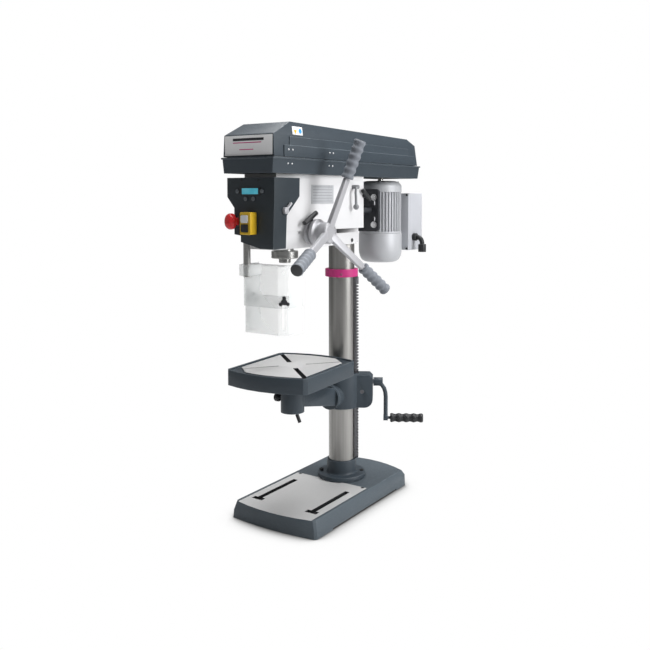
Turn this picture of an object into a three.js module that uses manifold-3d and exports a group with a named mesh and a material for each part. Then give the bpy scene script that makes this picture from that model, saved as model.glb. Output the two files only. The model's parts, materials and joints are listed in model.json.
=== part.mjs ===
// Bench drill press: heavy base, round column with rack-driven table, belt-driven head,
// tilting cover, motor behind the column. Millimetres, +Z up. The origin is on the column
// axis at floor level, the operator stands at -Y, and the feed handles are on the +X side.
import * as THREE from "three";
import { ConvexGeometry } from "three/addons/geometries/ConvexGeometry.js";
import { mergeVertices } from "three/addons/utils/BufferGeometryUtils.js";
import Module from "manifold-3d";

const wasm = await Module();
wasm.setup();

// ---- driving dimensions ----
const GAP = 0.3; // running and resting gap between neighbouring pieces
const COLUMN_R = 40;
const COLUMN_TOP = 970;
const BASE = { halfTop: 138, halfFoot: 148, front: -346, frontFoot: -353, rear: 140, bow: 36, height: 48 };
const BASE_FRONT_BOW = { top: 19, foot: 12 };
const FLANGE = { r: 75, thick: 14, neckR: 45, top: 104 };
const RACK_ANGLE = 30; // degrees from +X towards +Y, where the rack stands on the column
const RACK = { inner: 40.4, outer: 53, halfWidth: 9, bottom: 106, top: 676 };
const RING = { r: 51, bottom: 677, top: 701 };
const LIFT_MODULE = 3; // gear module of the lifting pinion and the rack
const LIFT_TEETH = 10;
const BRACKET = { r: 57, bottom: 270, top: 375, tiltZ: 309, tiltR: 37, face: -64 };
const WORM = { z: 350, side: -16, pinionZ: 320 };
const CRANK = { hubFrom: 100, hubTo: 129, armAt: 138, drop: 113, gripFrom: 152, gripTo: 254 };
const TABLE = { y: -258, half: 130, halfDepth: 138, bow: 28, corner: 8, top: 443, rim: 43, plate: 12,
  wall: 7 };
const TABLE_TURN = 4.5; // degrees that the table is swung on its hub at rest
const SPINDLE_Y = -292;
const QUILL = { r: 25, bore: 19, bottom: 751, top: 925, noseR: 16.5, noseBottom: 738 };
const SLEEVE = { r: 14, bottom: 938, seatR: 26, seatBottom: 946, seatTop: 970 }; // of the drive pulley
const FEED_MODULE = 2; // gear module of the feed pinion and the quill rack
const FEED_TEETH = 10;
const FEED = { y: SPINDLE_Y + 33, z: 823 };
const HEAD = { top: 984.2, bottom: 781, ledge: 829, front: -400, rear: 12, halfFront: 54, halfRear: 78.5 };
const ARM = { hubX: 122.6, gripX: 166, gripR: 153, endX: 196, endR: 258.7, firstAngle: 78.4 };
const TRAY = { halfLip: 91, halfFloor: 83.5, front: -457, rear: 356, floor: 984.5, lip: 1026, wall: 3 };
const COVER = { foot: 1027.6, half: 86, front: -449, rear: 337, label: 1088, ridge: 1121, wall: 3 };
const HOOD = { front: -441, topRear: -330, lowRear: -385, top: 973, wall: 4 };
const ROD = { x: -28, y: -423, r: 9.5 };
const GUARD = { top: 737, split: 621, overlap: 655, bottom: 547, sheet: 3 };
const MOTOR = { y: 238, r: 69.5, finBottom: 808, finTop: 939, top: 976, cowlBottom: 706 };
const PLATE = { y: 66, thick: 10, half: 94, bottom: 815, top: 947 };
const BAR = { x: 61, r: 9, z: 881, inner: -90 };
const BOX = { half: 67, front: 311, back: 9, rear: 415, bottom: 742, top: 935 };
const BELT = { z: 1040, spindleR: 56, motorR: 38, halfTop: 6, halfFoot: 4, depth: 8 };

// ---- finishes: colour, roughness, metalness ----
const FINISH = {
  anthracite: [0x3b444c, 0.55, 0.1],
  castGrey: [0x7f8a94, 0.6, 0.1],
  white: [0xe9e8e8, 0.45, 0],
  steel: [0xa9aaac, 0.3, 1],
  darkSteel: [0x5d6064, 0.45, 0.9],
  silver: [0xb6b7ba, 0.4, 0.6],
  gripGrey: [0x8d939b, 0.7, 0],
  endGrey: [0x5d6268, 0.7, 0],
  black: [0x1c1e20, 0.5, 0],
  magenta: [0xb3305f, 0.45, 0],
  motorGrey: [0xc3c5ca, 0.45, 0.3],
  boxGrey: [0xc6c8cc, 0.5, 0],
  clear: [0xe8eeee, 0.1, 0],
  yellow: [0xe9c62c, 0.5, 0],
  red: [0xc8242b, 0.35, 0],
  blue: [0x2f9cc4, 0.3, 0],
  offWhite: [0xd9dadb, 0.5, 0],
};

// ---- shape helpers ----
const degrees = (angle) => (angle * Math.PI) / 180;

// Merges shared corners, drops flat triangles and turns the faces outwards.
function closed(geometry) {
  const bare = geometry.clone();
  for (const name of Object.keys(bare.attributes)) {
    if (name !== "position") bare.deleteAttribute(name);
  }
  bare.clearGroups();
  const merged = mergeVertices(bare, 1e-4);
  const from = merged.index.array;
  const kept = [];
  for (let i = 0; i < from.length; i += 3) {
    const [a, b, c] = [from[i], from[i + 1], from[i + 2]];
    if (a !== b && b !== c && a !== c) kept.push(a, b, c);
  }
  merged.setIndex(kept);
  if (signedVolume(merged) < 0) {
    for (let i = 0; i < kept.length; i += 3) [kept[i], kept[i + 1]] = [kept[i + 1], kept[i]];
    merged.setIndex(kept);
  }
  return merged;
}

function signedVolume(geometry) {
  const corners = geometry.attributes.position;
  const [a, b, c] = [new THREE.Vector3(), new THREE.Vector3(), new THREE.Vector3()];
  let volume = 0;
  for (let i = 0; i < geometry.index.count; i += 3) {
    a.fromBufferAttribute(corners, geometry.index.array[i]);
    b.fromBufferAttribute(corners, geometry.index.array[i + 1]);
    c.fromBufferAttribute(corners, geometry.index.array[i + 2]);
    volume += a.dot(b.cross(c)) / 6;
  }
  return volume;
}

function solid(shape) {
  if (!shape.isBufferGeometry) return shape;
  const ready = closed(shape);
  const vertProperties = Float32Array.from(ready.attributes.position.array);
  const triVerts = Uint32Array.from(ready.index.array);
  return new wasm.Manifold(new wasm.Mesh({ numProp: 3, vertProperties, triVerts }));
}

const join = (first, ...others) => others.reduce((sum, next) => sum.add(solid(next)), solid(first));
const cut = (first, ...others) => others.reduce((sum, next) => sum.subtract(solid(next)), solid(first));
const common = (first, second) => solid(first).intersect(solid(second));

function geometryOf(shape) {
  if (shape.isBufferGeometry) return closed(shape);
  const mesh = shape.getMesh();
  const geometry = new THREE.BufferGeometry();
  geometry.setAttribute("position", new THREE.BufferAttribute(Float32Array.from(mesh.vertProperties), 3));
  geometry.setIndex([...mesh.triVerts]);
  return geometry;
}

// A block between two opposite corners.
function block(x0, x1, y0, y1, z0, z1) {
  const box = new THREE.BoxGeometry(x1 - x0, y1 - y0, z1 - z0);
  return box.translate((x0 + x1) / 2, (y0 + y1) / 2, (z0 + z1) / 2);
}

// A turned piece about +Z from a profile of [radius, height] points.
function turned(profile, sides = 32) {
  const points = profile.map(([r, z]) => new THREE.Vector2(r, z));
  return new THREE.LatheGeometry(points, sides).rotateX(Math.PI / 2);
}

// A round bar about +Z from height z0 to z1.
const bar = (r, z0, z1, sides = 24) => turned([[0, z0], [r, z0], [r, z1], [0, z1]], sides);

// A round tube about +Z from height z0 to z1.
const tube = (r, bore, z0, z1, sides = 24) =>
  turned([[bore, z0], [r, z0], [r, z1], [bore, z1], [bore, z0]], sides);

const alongX = (geometry) => geometry.rotateY(Math.PI / 2);
const alongY = (geometry) => geometry.rotateX(-Math.PI / 2);
const towardsFront = (geometry) => geometry.rotateX(Math.PI / 2);

// A flat outline of [x, y] points, extruded from height z0 to z1.
function slab(outline, z0, z1) {
  const shape = new THREE.Shape(outline.map(([x, y]) => new THREE.Vector2(x, y)));
  const options = { depth: z1 - z0, bevelEnabled: false, curveSegments: 8 };
  return new THREE.ExtrudeGeometry(shape, options).translate(0, 0, z0);
}

// An outline of [y, z] points, extruded along X.
const slabX = (outline, x0, x1) => slab(outline, x0, x1).applyMatrix4(
  new THREE.Matrix4().set(0, 0, 1, 0, 1, 0, 0, 0, 0, 1, 0, 0, 0, 0, 0, 1));

// An outline of [x, z] points, extruded along Y.
const slabY = (outline, y0, y1) => slab(outline, -y1, -y0).rotateX(Math.PI / 2);

// The smallest convex body around a list of [x, y, z] points.
const hull = (points) => new ConvexGeometry(points.map(([x, y, z]) => new THREE.Vector3(x, y, z)));

// A rectangle with round corners, centred on [x, y].
function roundedRectangle(halfX, halfY, r, steps = 4, x = 0, y = 0) {
  const outline = [];
  for (let corner = 0; corner < 4; corner += 1) {
    const centreX = x + (corner === 0 || corner === 3 ? 1 : -1) * (halfX - r);
    const centreY = y + (corner < 2 ? 1 : -1) * (halfY - r);
    for (let step = 0; step <= steps; step += 1) {
      const angle = degrees(90 * (corner + step / steps));
      outline.push([centreX + r * Math.cos(angle), centreY + r * Math.sin(angle)]);
    }
  }
  return outline;
}

// A bar of round section along a curve through [x, y, z] points.
function bentBar(points, r, steps = 9, sides = 8) {
  const path = new THREE.CatmullRomCurve3(points.map(([x, y, z]) => new THREE.Vector3(x, y, z)));
  const section = new THREE.Shape();
  for (let side = 0; side < sides; side += 1) {
    const angle = (2 * Math.PI * side) / sides;
    const [x, y] = [r * Math.cos(angle), r * Math.sin(angle)];
    if (side === 0) section.moveTo(x, y);
    else section.lineTo(x, y);
  }
  return new THREE.ExtrudeGeometry(section, { steps, bevelEnabled: false, extrudePath: path });
}

// A straight round bar between two points.
function strut(from, to, r, sides = 16) {
  const [a, b] = [new THREE.Vector3(...from), new THREE.Vector3(...to)];
  const turn = new THREE.Quaternion().setFromUnitVectors(
    new THREE.Vector3(0, 0, 1), b.clone().sub(a).normalize());
  return bar(r, 0, a.distanceTo(b), sides).applyQuaternion(turn).translate(a.x, a.y, a.z);
}

// A spur gear about +Z, with straight-sided teeth that leave some backlash.
function gear(teeth, module, width, backlash = 0.5) {
  const pitchR = (teeth * module) / 2;
  const halfPitch = (Math.PI * module) / 4 - backlash / 2;
  const rings = [[pitchR - 1.2 * module, halfPitch + 0.25 * module], [pitchR, halfPitch],
    [pitchR + 0.9 * module, halfPitch - 0.42 * module]];
  const outline = [];
  for (let tooth = 0; tooth < teeth; tooth += 1) {
    const middle = (2 * Math.PI * tooth) / teeth;
    for (const [r, half] of rings) outline.push([r, middle - half / r]);
    for (const [r, half] of [...rings].reverse()) outline.push([r, middle + half / r]);
  }
  return slab(outline.map(([r, a]) => [r * Math.cos(a), r * Math.sin(a)]), -width / 2, width / 2);
}

// ---- the assembly ----
const drillPress = new THREE.Group();
const gearSide = new THREE.Group(); // turned to where the rack stands: local X is radial
gearSide.rotation.z = degrees(RACK_ANGLE);
drillPress.add(gearSide);

function add(name, shape, finish, group = drillPress) {
  const [color, roughness, metalness] = FINISH[finish];
  const material = new THREE.MeshStandardMaterial({ color, roughness, metalness });
  const mesh = new THREE.Mesh(geometryOf(shape), material);
  mesh.name = name;
  group.add(mesh);
}

// ---- stand: base, flange and column ----
// One level of the base outline: front and rear edges bowed outwards.
function baseOutline(half, front, rear, z, frontBow) {
  const points = [[-half, front + 6, z], [half, front + 6, z]];
  for (let step = 0; step <= 6; step += 1) {
    const across = (half - 6) * (step / 3 - 1);
    points.push([across, front - frontBow * (1 - (across / half) ** 2), z]);
  }
  for (let step = 0; step <= 8; step += 1) {
    const across = half * (1 - step / 4);
    points.push([across, rear + BASE.bow * (1 - (across / half) ** 2), z]);
  }
  return points;
}

const T_SLOT = { x: 95, half: 8, from: -290, to: -114, pocketHalf: 19, pocketDepth: 16 };
const BASE_RIB = 6;
const BASE_WALL = 11;

function makeBase() {
  const { halfTop, halfFoot, front, frontFoot, rear, height } = BASE;
  const bow = BASE_FRONT_BOW;
  // The crease along the sides climbs towards the rear.
  const crease = baseOutline(halfFoot - 1.5, frontFoot + 1, rear + 6, 0, bow.foot)
    .map(([x, y]) => [x, y, 20 + (14 * (y - front)) / (rear - front)]);
  const outer = hull([
    ...baseOutline(halfFoot, frontFoot, rear + 6, 0, bow.foot),
    ...crease,
    ...baseOutline(halfTop, front, rear, height, bow.top),
  ]);
  const under = hull([
    ...baseOutline(halfFoot - BASE_WALL, frontFoot + BASE_WALL, rear - 6, -1, bow.foot),
    ...baseOutline(halfTop - BASE_WALL, front + BASE_WALL, rear - 12, height - 13, bow.top),
  ]);
  let base = cut(outer, under);
  base = join(base, block(-halfTop - 4, halfTop + 4, -BASE_RIB, BASE_RIB, 0, height - 10));
  base = join(base, block(-BASE_RIB, BASE_RIB, front + 5, 0, 12, height - 10));
  for (const side of [-1, 1]) {
    const x = side * T_SLOT.x;
    base = cut(base, block(x - T_SLOT.half, x + T_SLOT.half, T_SLOT.from, T_SLOT.to, 20, 60));
    base = cut(base, block(x - T_SLOT.pocketHalf, x + T_SLOT.pocketHalf,
      T_SLOT.from - T_SLOT.pocketDepth, T_SLOT.from + 1, 20, 60));
    base = cut(base, bar(5.5, 20, 60, 16).translate(side * 115, -62, 0));
    base = cut(base, block(side * 148 - 14, side * 148 + 14, -270, 90, -5, 5));
  }
  return base;
}

add("base", makeBase(), "castGrey");

function makeFlange() {
  const foot = BASE.height + GAP;
  const { r, thick, neckR, top } = FLANGE;
  const bore = COLUMN_R + GAP;
  const body = turned([[bore, foot], [r, foot], [r, foot + thick - 2], [r - 2, foot + thick],
    [neckR + 3, foot + thick], [neckR + 1.5, foot + thick + 4], [neckR + 1, top - 2],
    [neckR, top], [bore, top], [bore, foot]], 32);
  return body;
}

add("column_flange", makeFlange(), "anthracite");
add("column", tube(COLUMN_R, COLUMN_R - 6, BASE.height + GAP, COLUMN_TOP, 32), "steel");
add("rack_collar", tube(RING.r, COLUMN_R + GAP, RING.bottom, RING.top, 32), "magenta");

// ---- lifting rack, on the column's right-hand rear side ----
// The teeth face outwards. A tooth of the pinion stands in the gap at the pinion's height.
const LIFT_PITCH_R = (LIFT_MODULE * LIFT_TEETH) / 2;
const RACK_PITCH_LINE = RACK.outer - LIFT_MODULE;
const PINION_X = RACK_PITCH_LINE + LIFT_PITCH_R;

// The [depth, height] corners of a straight rack, its tips at depth `tip`.
function rackEdge(tip, module, gapAt, from, to, backlash = 0.5) {
  const pitch = Math.PI * module;
  const first = Math.ceil((from + pitch / 2 - gapAt) / pitch);
  const last = Math.floor((to - pitch / 2 - gapAt) / pitch);
  const halfMouth = pitch / 4 + backlash / 2 + module * 0.36;
  const halfFloor = pitch / 4 + backlash / 2 - module * 0.45;
  const depth = 2.25 * module;
  const edge = [];
  for (let index = first; index <= last; index += 1) {
    const middle = gapAt + index * pitch;
    edge.push([tip, middle - halfMouth], [tip - depth, middle - halfFloor]);
    edge.push([tip - depth, middle + halfFloor], [tip, middle + halfMouth]);
  }
  return edge;
}

function makeRack() {
  const { inner, outer, halfWidth, bottom, top } = RACK;
  const edge = rackEdge(outer, LIFT_MODULE, WORM.pinionZ, bottom + 6, top - 12);
  const outline = [[inner, bottom], [outer - 3, bottom], [outer, bottom + 3], ...edge,
    [outer, top - 3], [outer - 3, top], [inner, top]];
  return cut(slabY(outline, -halfWidth, halfWidth), bar(COLUMN_R + GAP, bottom - 1, top + 1, 32));
}

add("rack", makeRack(), "darkSteel", gearSide);

// ---- table bracket with its gear housing ----
const HOUSING = { from: 30, to: 98, half: 30, bottom: 270, top: 372 };

function housingOutline() {
  const { from, to, bottom, top } = HOUSING;
  const outline = [[from, bottom], [to - 26, bottom]];
  for (let step = 1; step <= 5; step += 1) {
    const angle = degrees(-90 + 18 * step);
    outline.push([to - 26 + 26 * Math.cos(angle), bottom + 26 + 26 * Math.sin(angle)]);
  }
  outline.push([to, top - 10], [to - 10, top], [from, top]);
  return outline;
}

function makeBracket() {
  const { r, bottom, top, tiltZ, tiltR, face } = BRACKET;
  const turnToRack = (geometry) => geometry.rotateZ(degrees(RACK_ANGLE));
  let bracket = join(bar(r, bottom, top, 24),
    towardsFront(bar(tiltR, 0, -face, 24)).translate(0, 0, tiltZ),
    turnToRack(slabY(housingOutline(), -HOUSING.half, HOUSING.half)),
    turnToRack(alongX(bar(13, 40, 96, 20)).translate(0, WORM.side, WORM.z)),
    block(-78, -40, -8, 24, 285, 355));
  const clearance = 0.8;
  bracket = cut(bracket,
    bar(COLUMN_R + GAP, bottom - 1, top + 1, 32),
    turnToRack(block(30, RACK.outer + clearance, -RACK.halfWidth - clearance, RACK.halfWidth + clearance,
      bottom - 1, top + 1)),
    turnToRack(alongY(bar(PINION_TIP + 1.5, -10, 11, 24)).translate(PINION_X, 0, WORM.pinionZ)),
    turnToRack(alongY(bar(WHEEL_R + 1.5, -23, -9, 24)).translate(PINION_X, 0, WORM.pinionZ)),
    turnToRack(alongY(bar(6 + GAP, -HOUSING.half - 1, 22, 16)).translate(PINION_X, 0, WORM.pinionZ)),
    turnToRack(alongX(bar(WORM_R + 1, 46, 84, 24)).translate(0, WORM.side, WORM.z)),
    turnToRack(alongX(bar(7 + GAP, 40, 100, 16)).translate(0, WORM.side, WORM.z)),
    alongX(bar(5 + GAP, -90, -60, 16)).translate(0, 8, 320),
    towardsFront(bar(8 + GAP, 36, 80, 16)).translate(0, 0, tiltZ));
  return bracket;
}

const PINION_TIP = LIFT_PITCH_R + LIFT_MODULE;
const WHEEL_R = 20;
const WORM_R = 9;
add("table_bracket", makeBracket(), "anthracite");

function makeWormWheel() {
  const width = 15;
  return join(alongY(gear(LIFT_TEETH, LIFT_MODULE, width, 1).rotateZ(Math.PI)),
    alongY(bar(WHEEL_R, -22, -10, 24)), alongY(bar(6, -29, 21, 16)));
}

add("lift_pinion", makeWormWheel().translate([PINION_X, 0, WORM.pinionZ]), "darkSteel", gearSide);

// The worm: a shaft with a few raised threads, and the crank's hub seat at its outer end.
function makeWormShaft() {
  const profile = [[0, 47], [7, 47], [7, 52]];
  for (let x = 54; x <= 78; x += 6) profile.push([WORM_R - 2, x], [WORM_R, x + 2], [WORM_R - 2, x + 4]);
  profile.push([7, 84], [7, CRANK.hubTo - 6], [0, CRANK.hubTo - 6]);
  return alongX(turned(profile, 16));
}

add("crank_shaft", makeWormShaft().translate(0, WORM.side, WORM.z), "darkSteel", gearSide);

function makeCrankArm() {
  const low = WORM.z - CRANK.drop;
  const { hubFrom, hubTo, armAt } = CRANK;
  const arm = bentBar([[114, WORM.side, WORM.z - 4], [128, WORM.side, WORM.z - 12],
    [armAt - 1, WORM.side, WORM.z - 34], [armAt, WORM.side, WORM.z - 70], [armAt, WORM.side, low]], 6.5);
  const hub = alongX(bar(13, hubFrom, hubTo, 24)).translate(0, WORM.side, WORM.z);
  const seat = alongX(bar(7 + GAP, hubFrom - 1, hubTo - 5, 16)).translate(0, WORM.side, WORM.z);
  const eye = alongX(bar(9, armAt - 7, armAt + 7, 16)).translate(0, WORM.side, low);
  const pin = alongX(bar(4.5, armAt, CRANK.gripTo - 8, 12)).translate(0, WORM.side, low);
  return cut(join(hub, arm, eye, pin), seat);
}

add("crank_arm", makeCrankArm(), "anthracite", gearSide);

// A hand grip about +Z with waisted finger grooves, bored for its bar.
function grip(from, to, r, bore, boreDepth, waists, sides = 12) {
  const length = to - from;
  const profile = [[bore, from], [r - 3, from], [r - 0.5, from + 4]];
  for (let waist = 0; waist < waists; waist += 1) {
    const middle = from + 6 + ((waist + 0.5) * (length - 12)) / waists;
    profile.push([r - 2.2, middle], [r, middle + (length - 12) / waists / 2]);
  }
  profile.push([r - 1.5, to], [0, to], [0, from + boreDepth], [bore, from + boreDepth], [bore, from]);
  return turned(profile, sides);
}

add("crank_grip", alongX(grip(CRANK.gripFrom, CRANK.gripTo, 14, 4.5 + GAP, 96, 4))
  .translate(0, WORM.side, WORM.z - CRANK.drop), "black", gearSide);

// The bracket's clamp: a screw with a lever on its outer end, at the left-hand side.
add("bracket_clamp_lever", join(alongX(bar(5, -86, -60.5, 16)).translate(0, 8, 320),
  alongX(bar(10, -98, -84, 16)).translate(0, 8, 320), strut([-92, 8, 320], [-100, 8, 392], 4.5),
  new THREE.SphereGeometry(10, 10, 7).translate(-100.5, 8, 396)), "black");

// ---- table arm and table ----
const HUB_TOP = TABLE.top - TABLE.rim - 8;
const HUB_BOTTOM = 308;
const TABLE_HUB_R = 34;

function makeTableArm() {
  const { tiltZ, tiltR, face } = BRACKET;
  const front = face - GAP;
  const disc = towardsFront(bar(tiltR, -front, -front + 10, 24)).translate(0, 0, tiltZ);
  const beam = hull([
    [-26, front - 6, tiltZ - 22], [26, front - 6, tiltZ - 22], [-26, front - 6, tiltZ + 30],
    [26, front - 6, tiltZ + 30], [-25, TABLE.y + 20, tiltZ + 12], [25, TABLE.y + 20, tiltZ + 12],
    [-25, TABLE.y + 20, HUB_TOP - 6], [25, TABLE.y + 20, HUB_TOP - 6]]);
  const hub = bar(TABLE_HUB_R, HUB_BOTTOM, HUB_TOP, 24).translate(0, TABLE.y, 0);
  return cut(join(disc, beam, hub),
    bar(20, HUB_BOTTOM - 1, HUB_TOP + 1, 24).translate(0, TABLE.y, 0),
    towardsFront(bar(8 + GAP, 60, 120, 16)).translate(0, 0, tiltZ),
    towardsFront(bar(15, 92, 150, 20)).translate(0, 0, tiltZ),
    alongX(bar(5 + GAP, -50, -10, 16)).translate(0, TABLE.y - 8, LOCK_Z));
}

const LOCK_Z = 345;
add("table_arm", makeTableArm(), "anthracite");
const boltProfile = [[0, 42], [8, 42], [8, 92.5], [13, 92.5], [13, 104], [0, 104]];
add("tilt_bolt", towardsFront(turned(boltProfile, 16)).translate(0, 0, BRACKET.tiltZ), "darkSteel");

// The table's outline about its hub: straight sides, front and rear edges bowed outwards.
function tableOutline(inset) {
  const half = TABLE.half - inset;
  const depth = TABLE.halfDepth - inset;
  const corner = Math.max(TABLE.corner - inset, 2);
  const outline = [];
  for (const side of [-1, 1]) {
    for (let step = 0; step <= 6; step += 1) {
      const across = -side * (half - corner) * (step / 3 - 1);
      outline.push([across, side * (depth + TABLE.bow * (1 - (across / TABLE.half) ** 2))]);
    }
    outline.push([-side * half, side * (depth - corner)], [-side * half, side * (corner - depth)]);
  }
  return outline;
}

const GUTTER = { inset: 18, depth: 4 };
const FACE_CORNER = 144; // how far the two cut corners of the working face stand from the hub

// The raised working face: two of its corners are cut back for the coolant to drain.
function workingFace(z0, z1) {
  const cutter = (angle) => block(FACE_CORNER, 220, -90, 90, z0 - 1, z1 + 1).rotateZ(degrees(angle));
  return cut(slab(tableOutline(GUTTER.inset), z0, z1), cutter(45), cutter(225));
}

function makeTable() {
  const { top, rim, plate, wall, half, halfDepth } = TABLE;
  const floor = top - GUTTER.depth;
  const body = cut(slab(tableOutline(0), top - rim, top),
    slab(tableOutline(wall), floor, top + 1),
    slab(tableOutline(wall), top - rim - 1, floor - plate));
  let table = join(body, workingFace(floor - 2, top - 0.8),
    block(-half + 3, half - 3, -4, 4, top - rim + 8, top - plate - 2),
    block(-4, 4, -halfDepth, halfDepth, top - rim + 8, top - plate - 2),
    bar(33, HUB_TOP + GAP, top - plate, 24),
    bar(19.7, HUB_BOTTOM + 3, top - plate, 24));
  const diagonal = Math.atan2(halfDepth, half);
  for (const turn of [-diagonal, Math.PI - diagonal]) {
    table = cut(table, block(43, 172, -7, 7, floor - plate - 2, top + 2).rotateZ(turn));
  }
  for (const turn of [diagonal, Math.PI + diagonal]) {
    table = cut(table, block(40, 146, -2.2, 2.2, top - 6, top + 2).rotateZ(turn));
  }
  return table.rotate([0, 0, TABLE_TURN]).translate([0, TABLE.y, 0]);
}

add("table", makeTable(), "anthracite");
const lockKnob = [[0, -55], [10, -55], [12.5, -52], [12.5, -42], [9, -37], [0, -37]];
add("table_lock_knob", join(alongX(bar(5, -40, -20.5, 16)), alongX(turned(lockKnob, 12)))
  .translate([0, TABLE.y - 8, LOCK_Z]), "black");
add("table_tilt_pin", strut([18, -262, 304], [29, -262, 281], 5), "black");

// ---- head casting ----
// One level of the head in plan: wider at the rear, around the column.
function headLevel(inset, halfRear, rear, z) {
  const front = HEAD.halfFront - inset;
  const back = halfRear - inset;
  return [[-front, HEAD.front + inset, z], [front, HEAD.front + inset, z],
    [back, rear - 10, z], [back - 10, rear, z], [-back + 10, rear, z], [-back, rear - 10, z]];
}

const SIDE = 64.7; // faces of the two feed-shaft bosses
const LOWER_HALF = 64;
const LOWER_REAR = -5;

// The head's outside, upper and narrower lower part, drawn in by `inset`.
function headEnvelope(inset) {
  const { top, bottom, ledge, rear, halfRear } = HEAD;
  const [low, high] = [Math.min(inset, 0), Math.max(-inset, 0)];
  return join(
    hull([...headLevel(inset, halfRear, rear, ledge + low),
      ...headLevel(inset, halfRear, rear, top + high)]),
    hull([...headLevel(inset, LOWER_HALF, LOWER_REAR, bottom + low),
      ...headLevel(inset, LOWER_HALF, LOWER_REAR, ledge + 2)]));
}

function makeHead() {
  const { top, bottom, ledge, rear, halfRear } = HEAD;
  const wall = 8;
  const shell = cut(headEnvelope(0),
    hull([...headLevel(wall, LOWER_HALF, LOWER_REAR - wall, bottom + wall),
      ...headLevel(wall, halfRear, rear - wall, ledge + wall),
      ...headLevel(wall, halfRear, rear - wall, top + 1)]));
  let head = join(shell,
    bar(52, bottom + 2, top, 32),
    bar(34, bottom, SLEEVE.seatTop, 24).translate(0, SPINDLE_Y, 0),
    block(-56, 56, FEED.y - 18, FEED.y + 16, bottom + 4, FEED.z + 22),
    alongX(bar(24, 50, SIDE, 24)).translate(0, FEED.y, FEED.z),
    alongX(bar(24, -SIDE, -50, 24)).translate(0, FEED.y, FEED.z));
  for (const side of [-1, 1]) {
    const boss = [side * BAR.x - 12, side * BAR.x + 12];
    head = join(head, block(...boss, -70, rear - 2, BAR.z - 14, BAR.z + 14));
    head = cut(head, alongY(bar(BAR.r + GAP, BAR.inner - 12, 30, 20)).translate(side * BAR.x, 0, BAR.z));
  }
  const pocket = (FEED_MODULE * FEED_TEETH) / 2 + FEED_MODULE + 1;
  return cut(head,
    bar(COLUMN_R + GAP, bottom - 1, COLUMN_TOP + 4, 32),
    bar(QUILL.r + GAP, bottom - 1, 930, 24).translate(0, SPINDLE_Y, 0),
    bar(SLEEVE.r + 2, 929, 975, 24).translate(0, SPINDLE_Y, 0),
    bar(SLEEVE.seatR, SLEEVE.seatBottom, 990, 24).translate(0, SPINDLE_Y, 0),
    alongX(bar(pocket, -13, 13, 24)).translate(0, FEED.y, FEED.z),
    alongX(bar(9 + GAP, -70, 70, 20)).translate(0, FEED.y, FEED.z),
    alongX(bar(6 + GAP, 60, 90, 16)).translate(0, -53, 952),
    alongX(bar(6 + GAP, 50, 90, 16)).translate(0, 2, 926),
    bar(ROD.r + GAP, 770, 838, 20).translate(ROD.x, ROD.y, 0));
}

add("head_casting", makeHead(), "white");

// ---- quill, spindle and bearings ----
function makeQuill() {
  const { r, bore, bottom, top } = QUILL;
  const body = tube(r, bore, bottom, top, 24).translate(0, SPINDLE_Y, 0);
  const edge = rackEdge(SPINDLE_Y + r, FEED_MODULE, FEED.z, FEED.z - 12, top - 3, 0.8);
  let quill = solid(body);
  for (let tooth = 0; tooth < edge.length; tooth += 4) {
    const [a, b, c, d] = edge.slice(tooth, tooth + 4);
    const mouth = [[a[0] + 2, a[1] - 0.7], b, c, [d[0] + 2, d[1] + 0.7]];
    quill = cut(quill, slabX(mouth, -13.5, 13.5));
  }
  return quill;
}

add("quill", makeQuill(), "steel");
add("quill_collar", turned([[QUILL.r + GAP, 751], [36, 751], [37.5, 753], [37.5, 770], [36, 772],
  [QUILL.r + GAP, 772], [QUILL.r + GAP, 751]], 24).translate(0, SPINDLE_Y, 0), "steel");

const BEARING = { bore: 12.3, r: 18.7, height: 14 };
const SPINDLE_TOP = 1062;

function makeSpindle() {
  const { noseR, noseBottom, bottom } = QUILL;
  return turned([[0, bottom + 15], [7.5, bottom + 15], [8.9, noseBottom], [noseR - 1.5, noseBottom],
    [noseR, noseBottom + 2], [noseR, bottom + 4], [12, bottom + 4], [12, 918], [9, 920],
    [9, SPINDLE_TOP], [0, SPINDLE_TOP]], 20).translate(0, SPINDLE_Y, 0);
}

add("spindle", makeSpindle(), "steel");
add("spindle_bearing", tube(BEARING.r, BEARING.bore, QUILL.bottom + 5, QUILL.bottom + 5 + BEARING.height, 24)
  .translate(0, SPINDLE_Y, 0), "steel");
const seatFrom = SLEEVE.seatBottom + GAP;
const pulleyBearing = tube(SLEEVE.seatR - GAP, SLEEVE.r + GAP, seatFrom, SLEEVE.seatTop - 4, 24);
add("pulley_bearing", pulleyBearing.translate(0, SPINDLE_Y, 0), "steel");

// ---- feed: pinion shaft, three-arm hub, grips, depth scale ----
function makeFeedShaft() {
  const shaft = alongX(turned([[0, 1 - SIDE], [9, 1 - SIDE], [9, -14], [7, -14], [7, 14], [9, 14], [9, 112],
    [0, 112]], 16));
  const pinion = alongX(gear(FEED_TEETH, FEED_MODULE, 24, 1).rotateZ(Math.PI / FEED_TEETH));
  return join(shaft, pinion).translate([0, FEED.y, FEED.z]);
}

add("feed_shaft", makeFeedShaft(), "darkSteel");

function armFrame(index) {
  const lean = Math.atan2(ARM.endX - ARM.gripX, ARM.endR - ARM.gripR);
  const place = new THREE.Matrix4().makeRotationY(lean);
  const angle = degrees(ARM.firstAngle - 90 + 120 * index);
  const turn = new THREE.Matrix4().makeRotationX(angle);
  return new THREE.Matrix4().makeTranslation(ARM.hubX, FEED.y, FEED.z).multiply(turn).multiply(place);
}

const ARM_LENGTH = Math.hypot(ARM.gripR, ARM.gripX - ARM.hubX);
const GRIP_LENGTH = Math.hypot(ARM.endR - ARM.gripR, ARM.endX - ARM.gripX);

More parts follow.
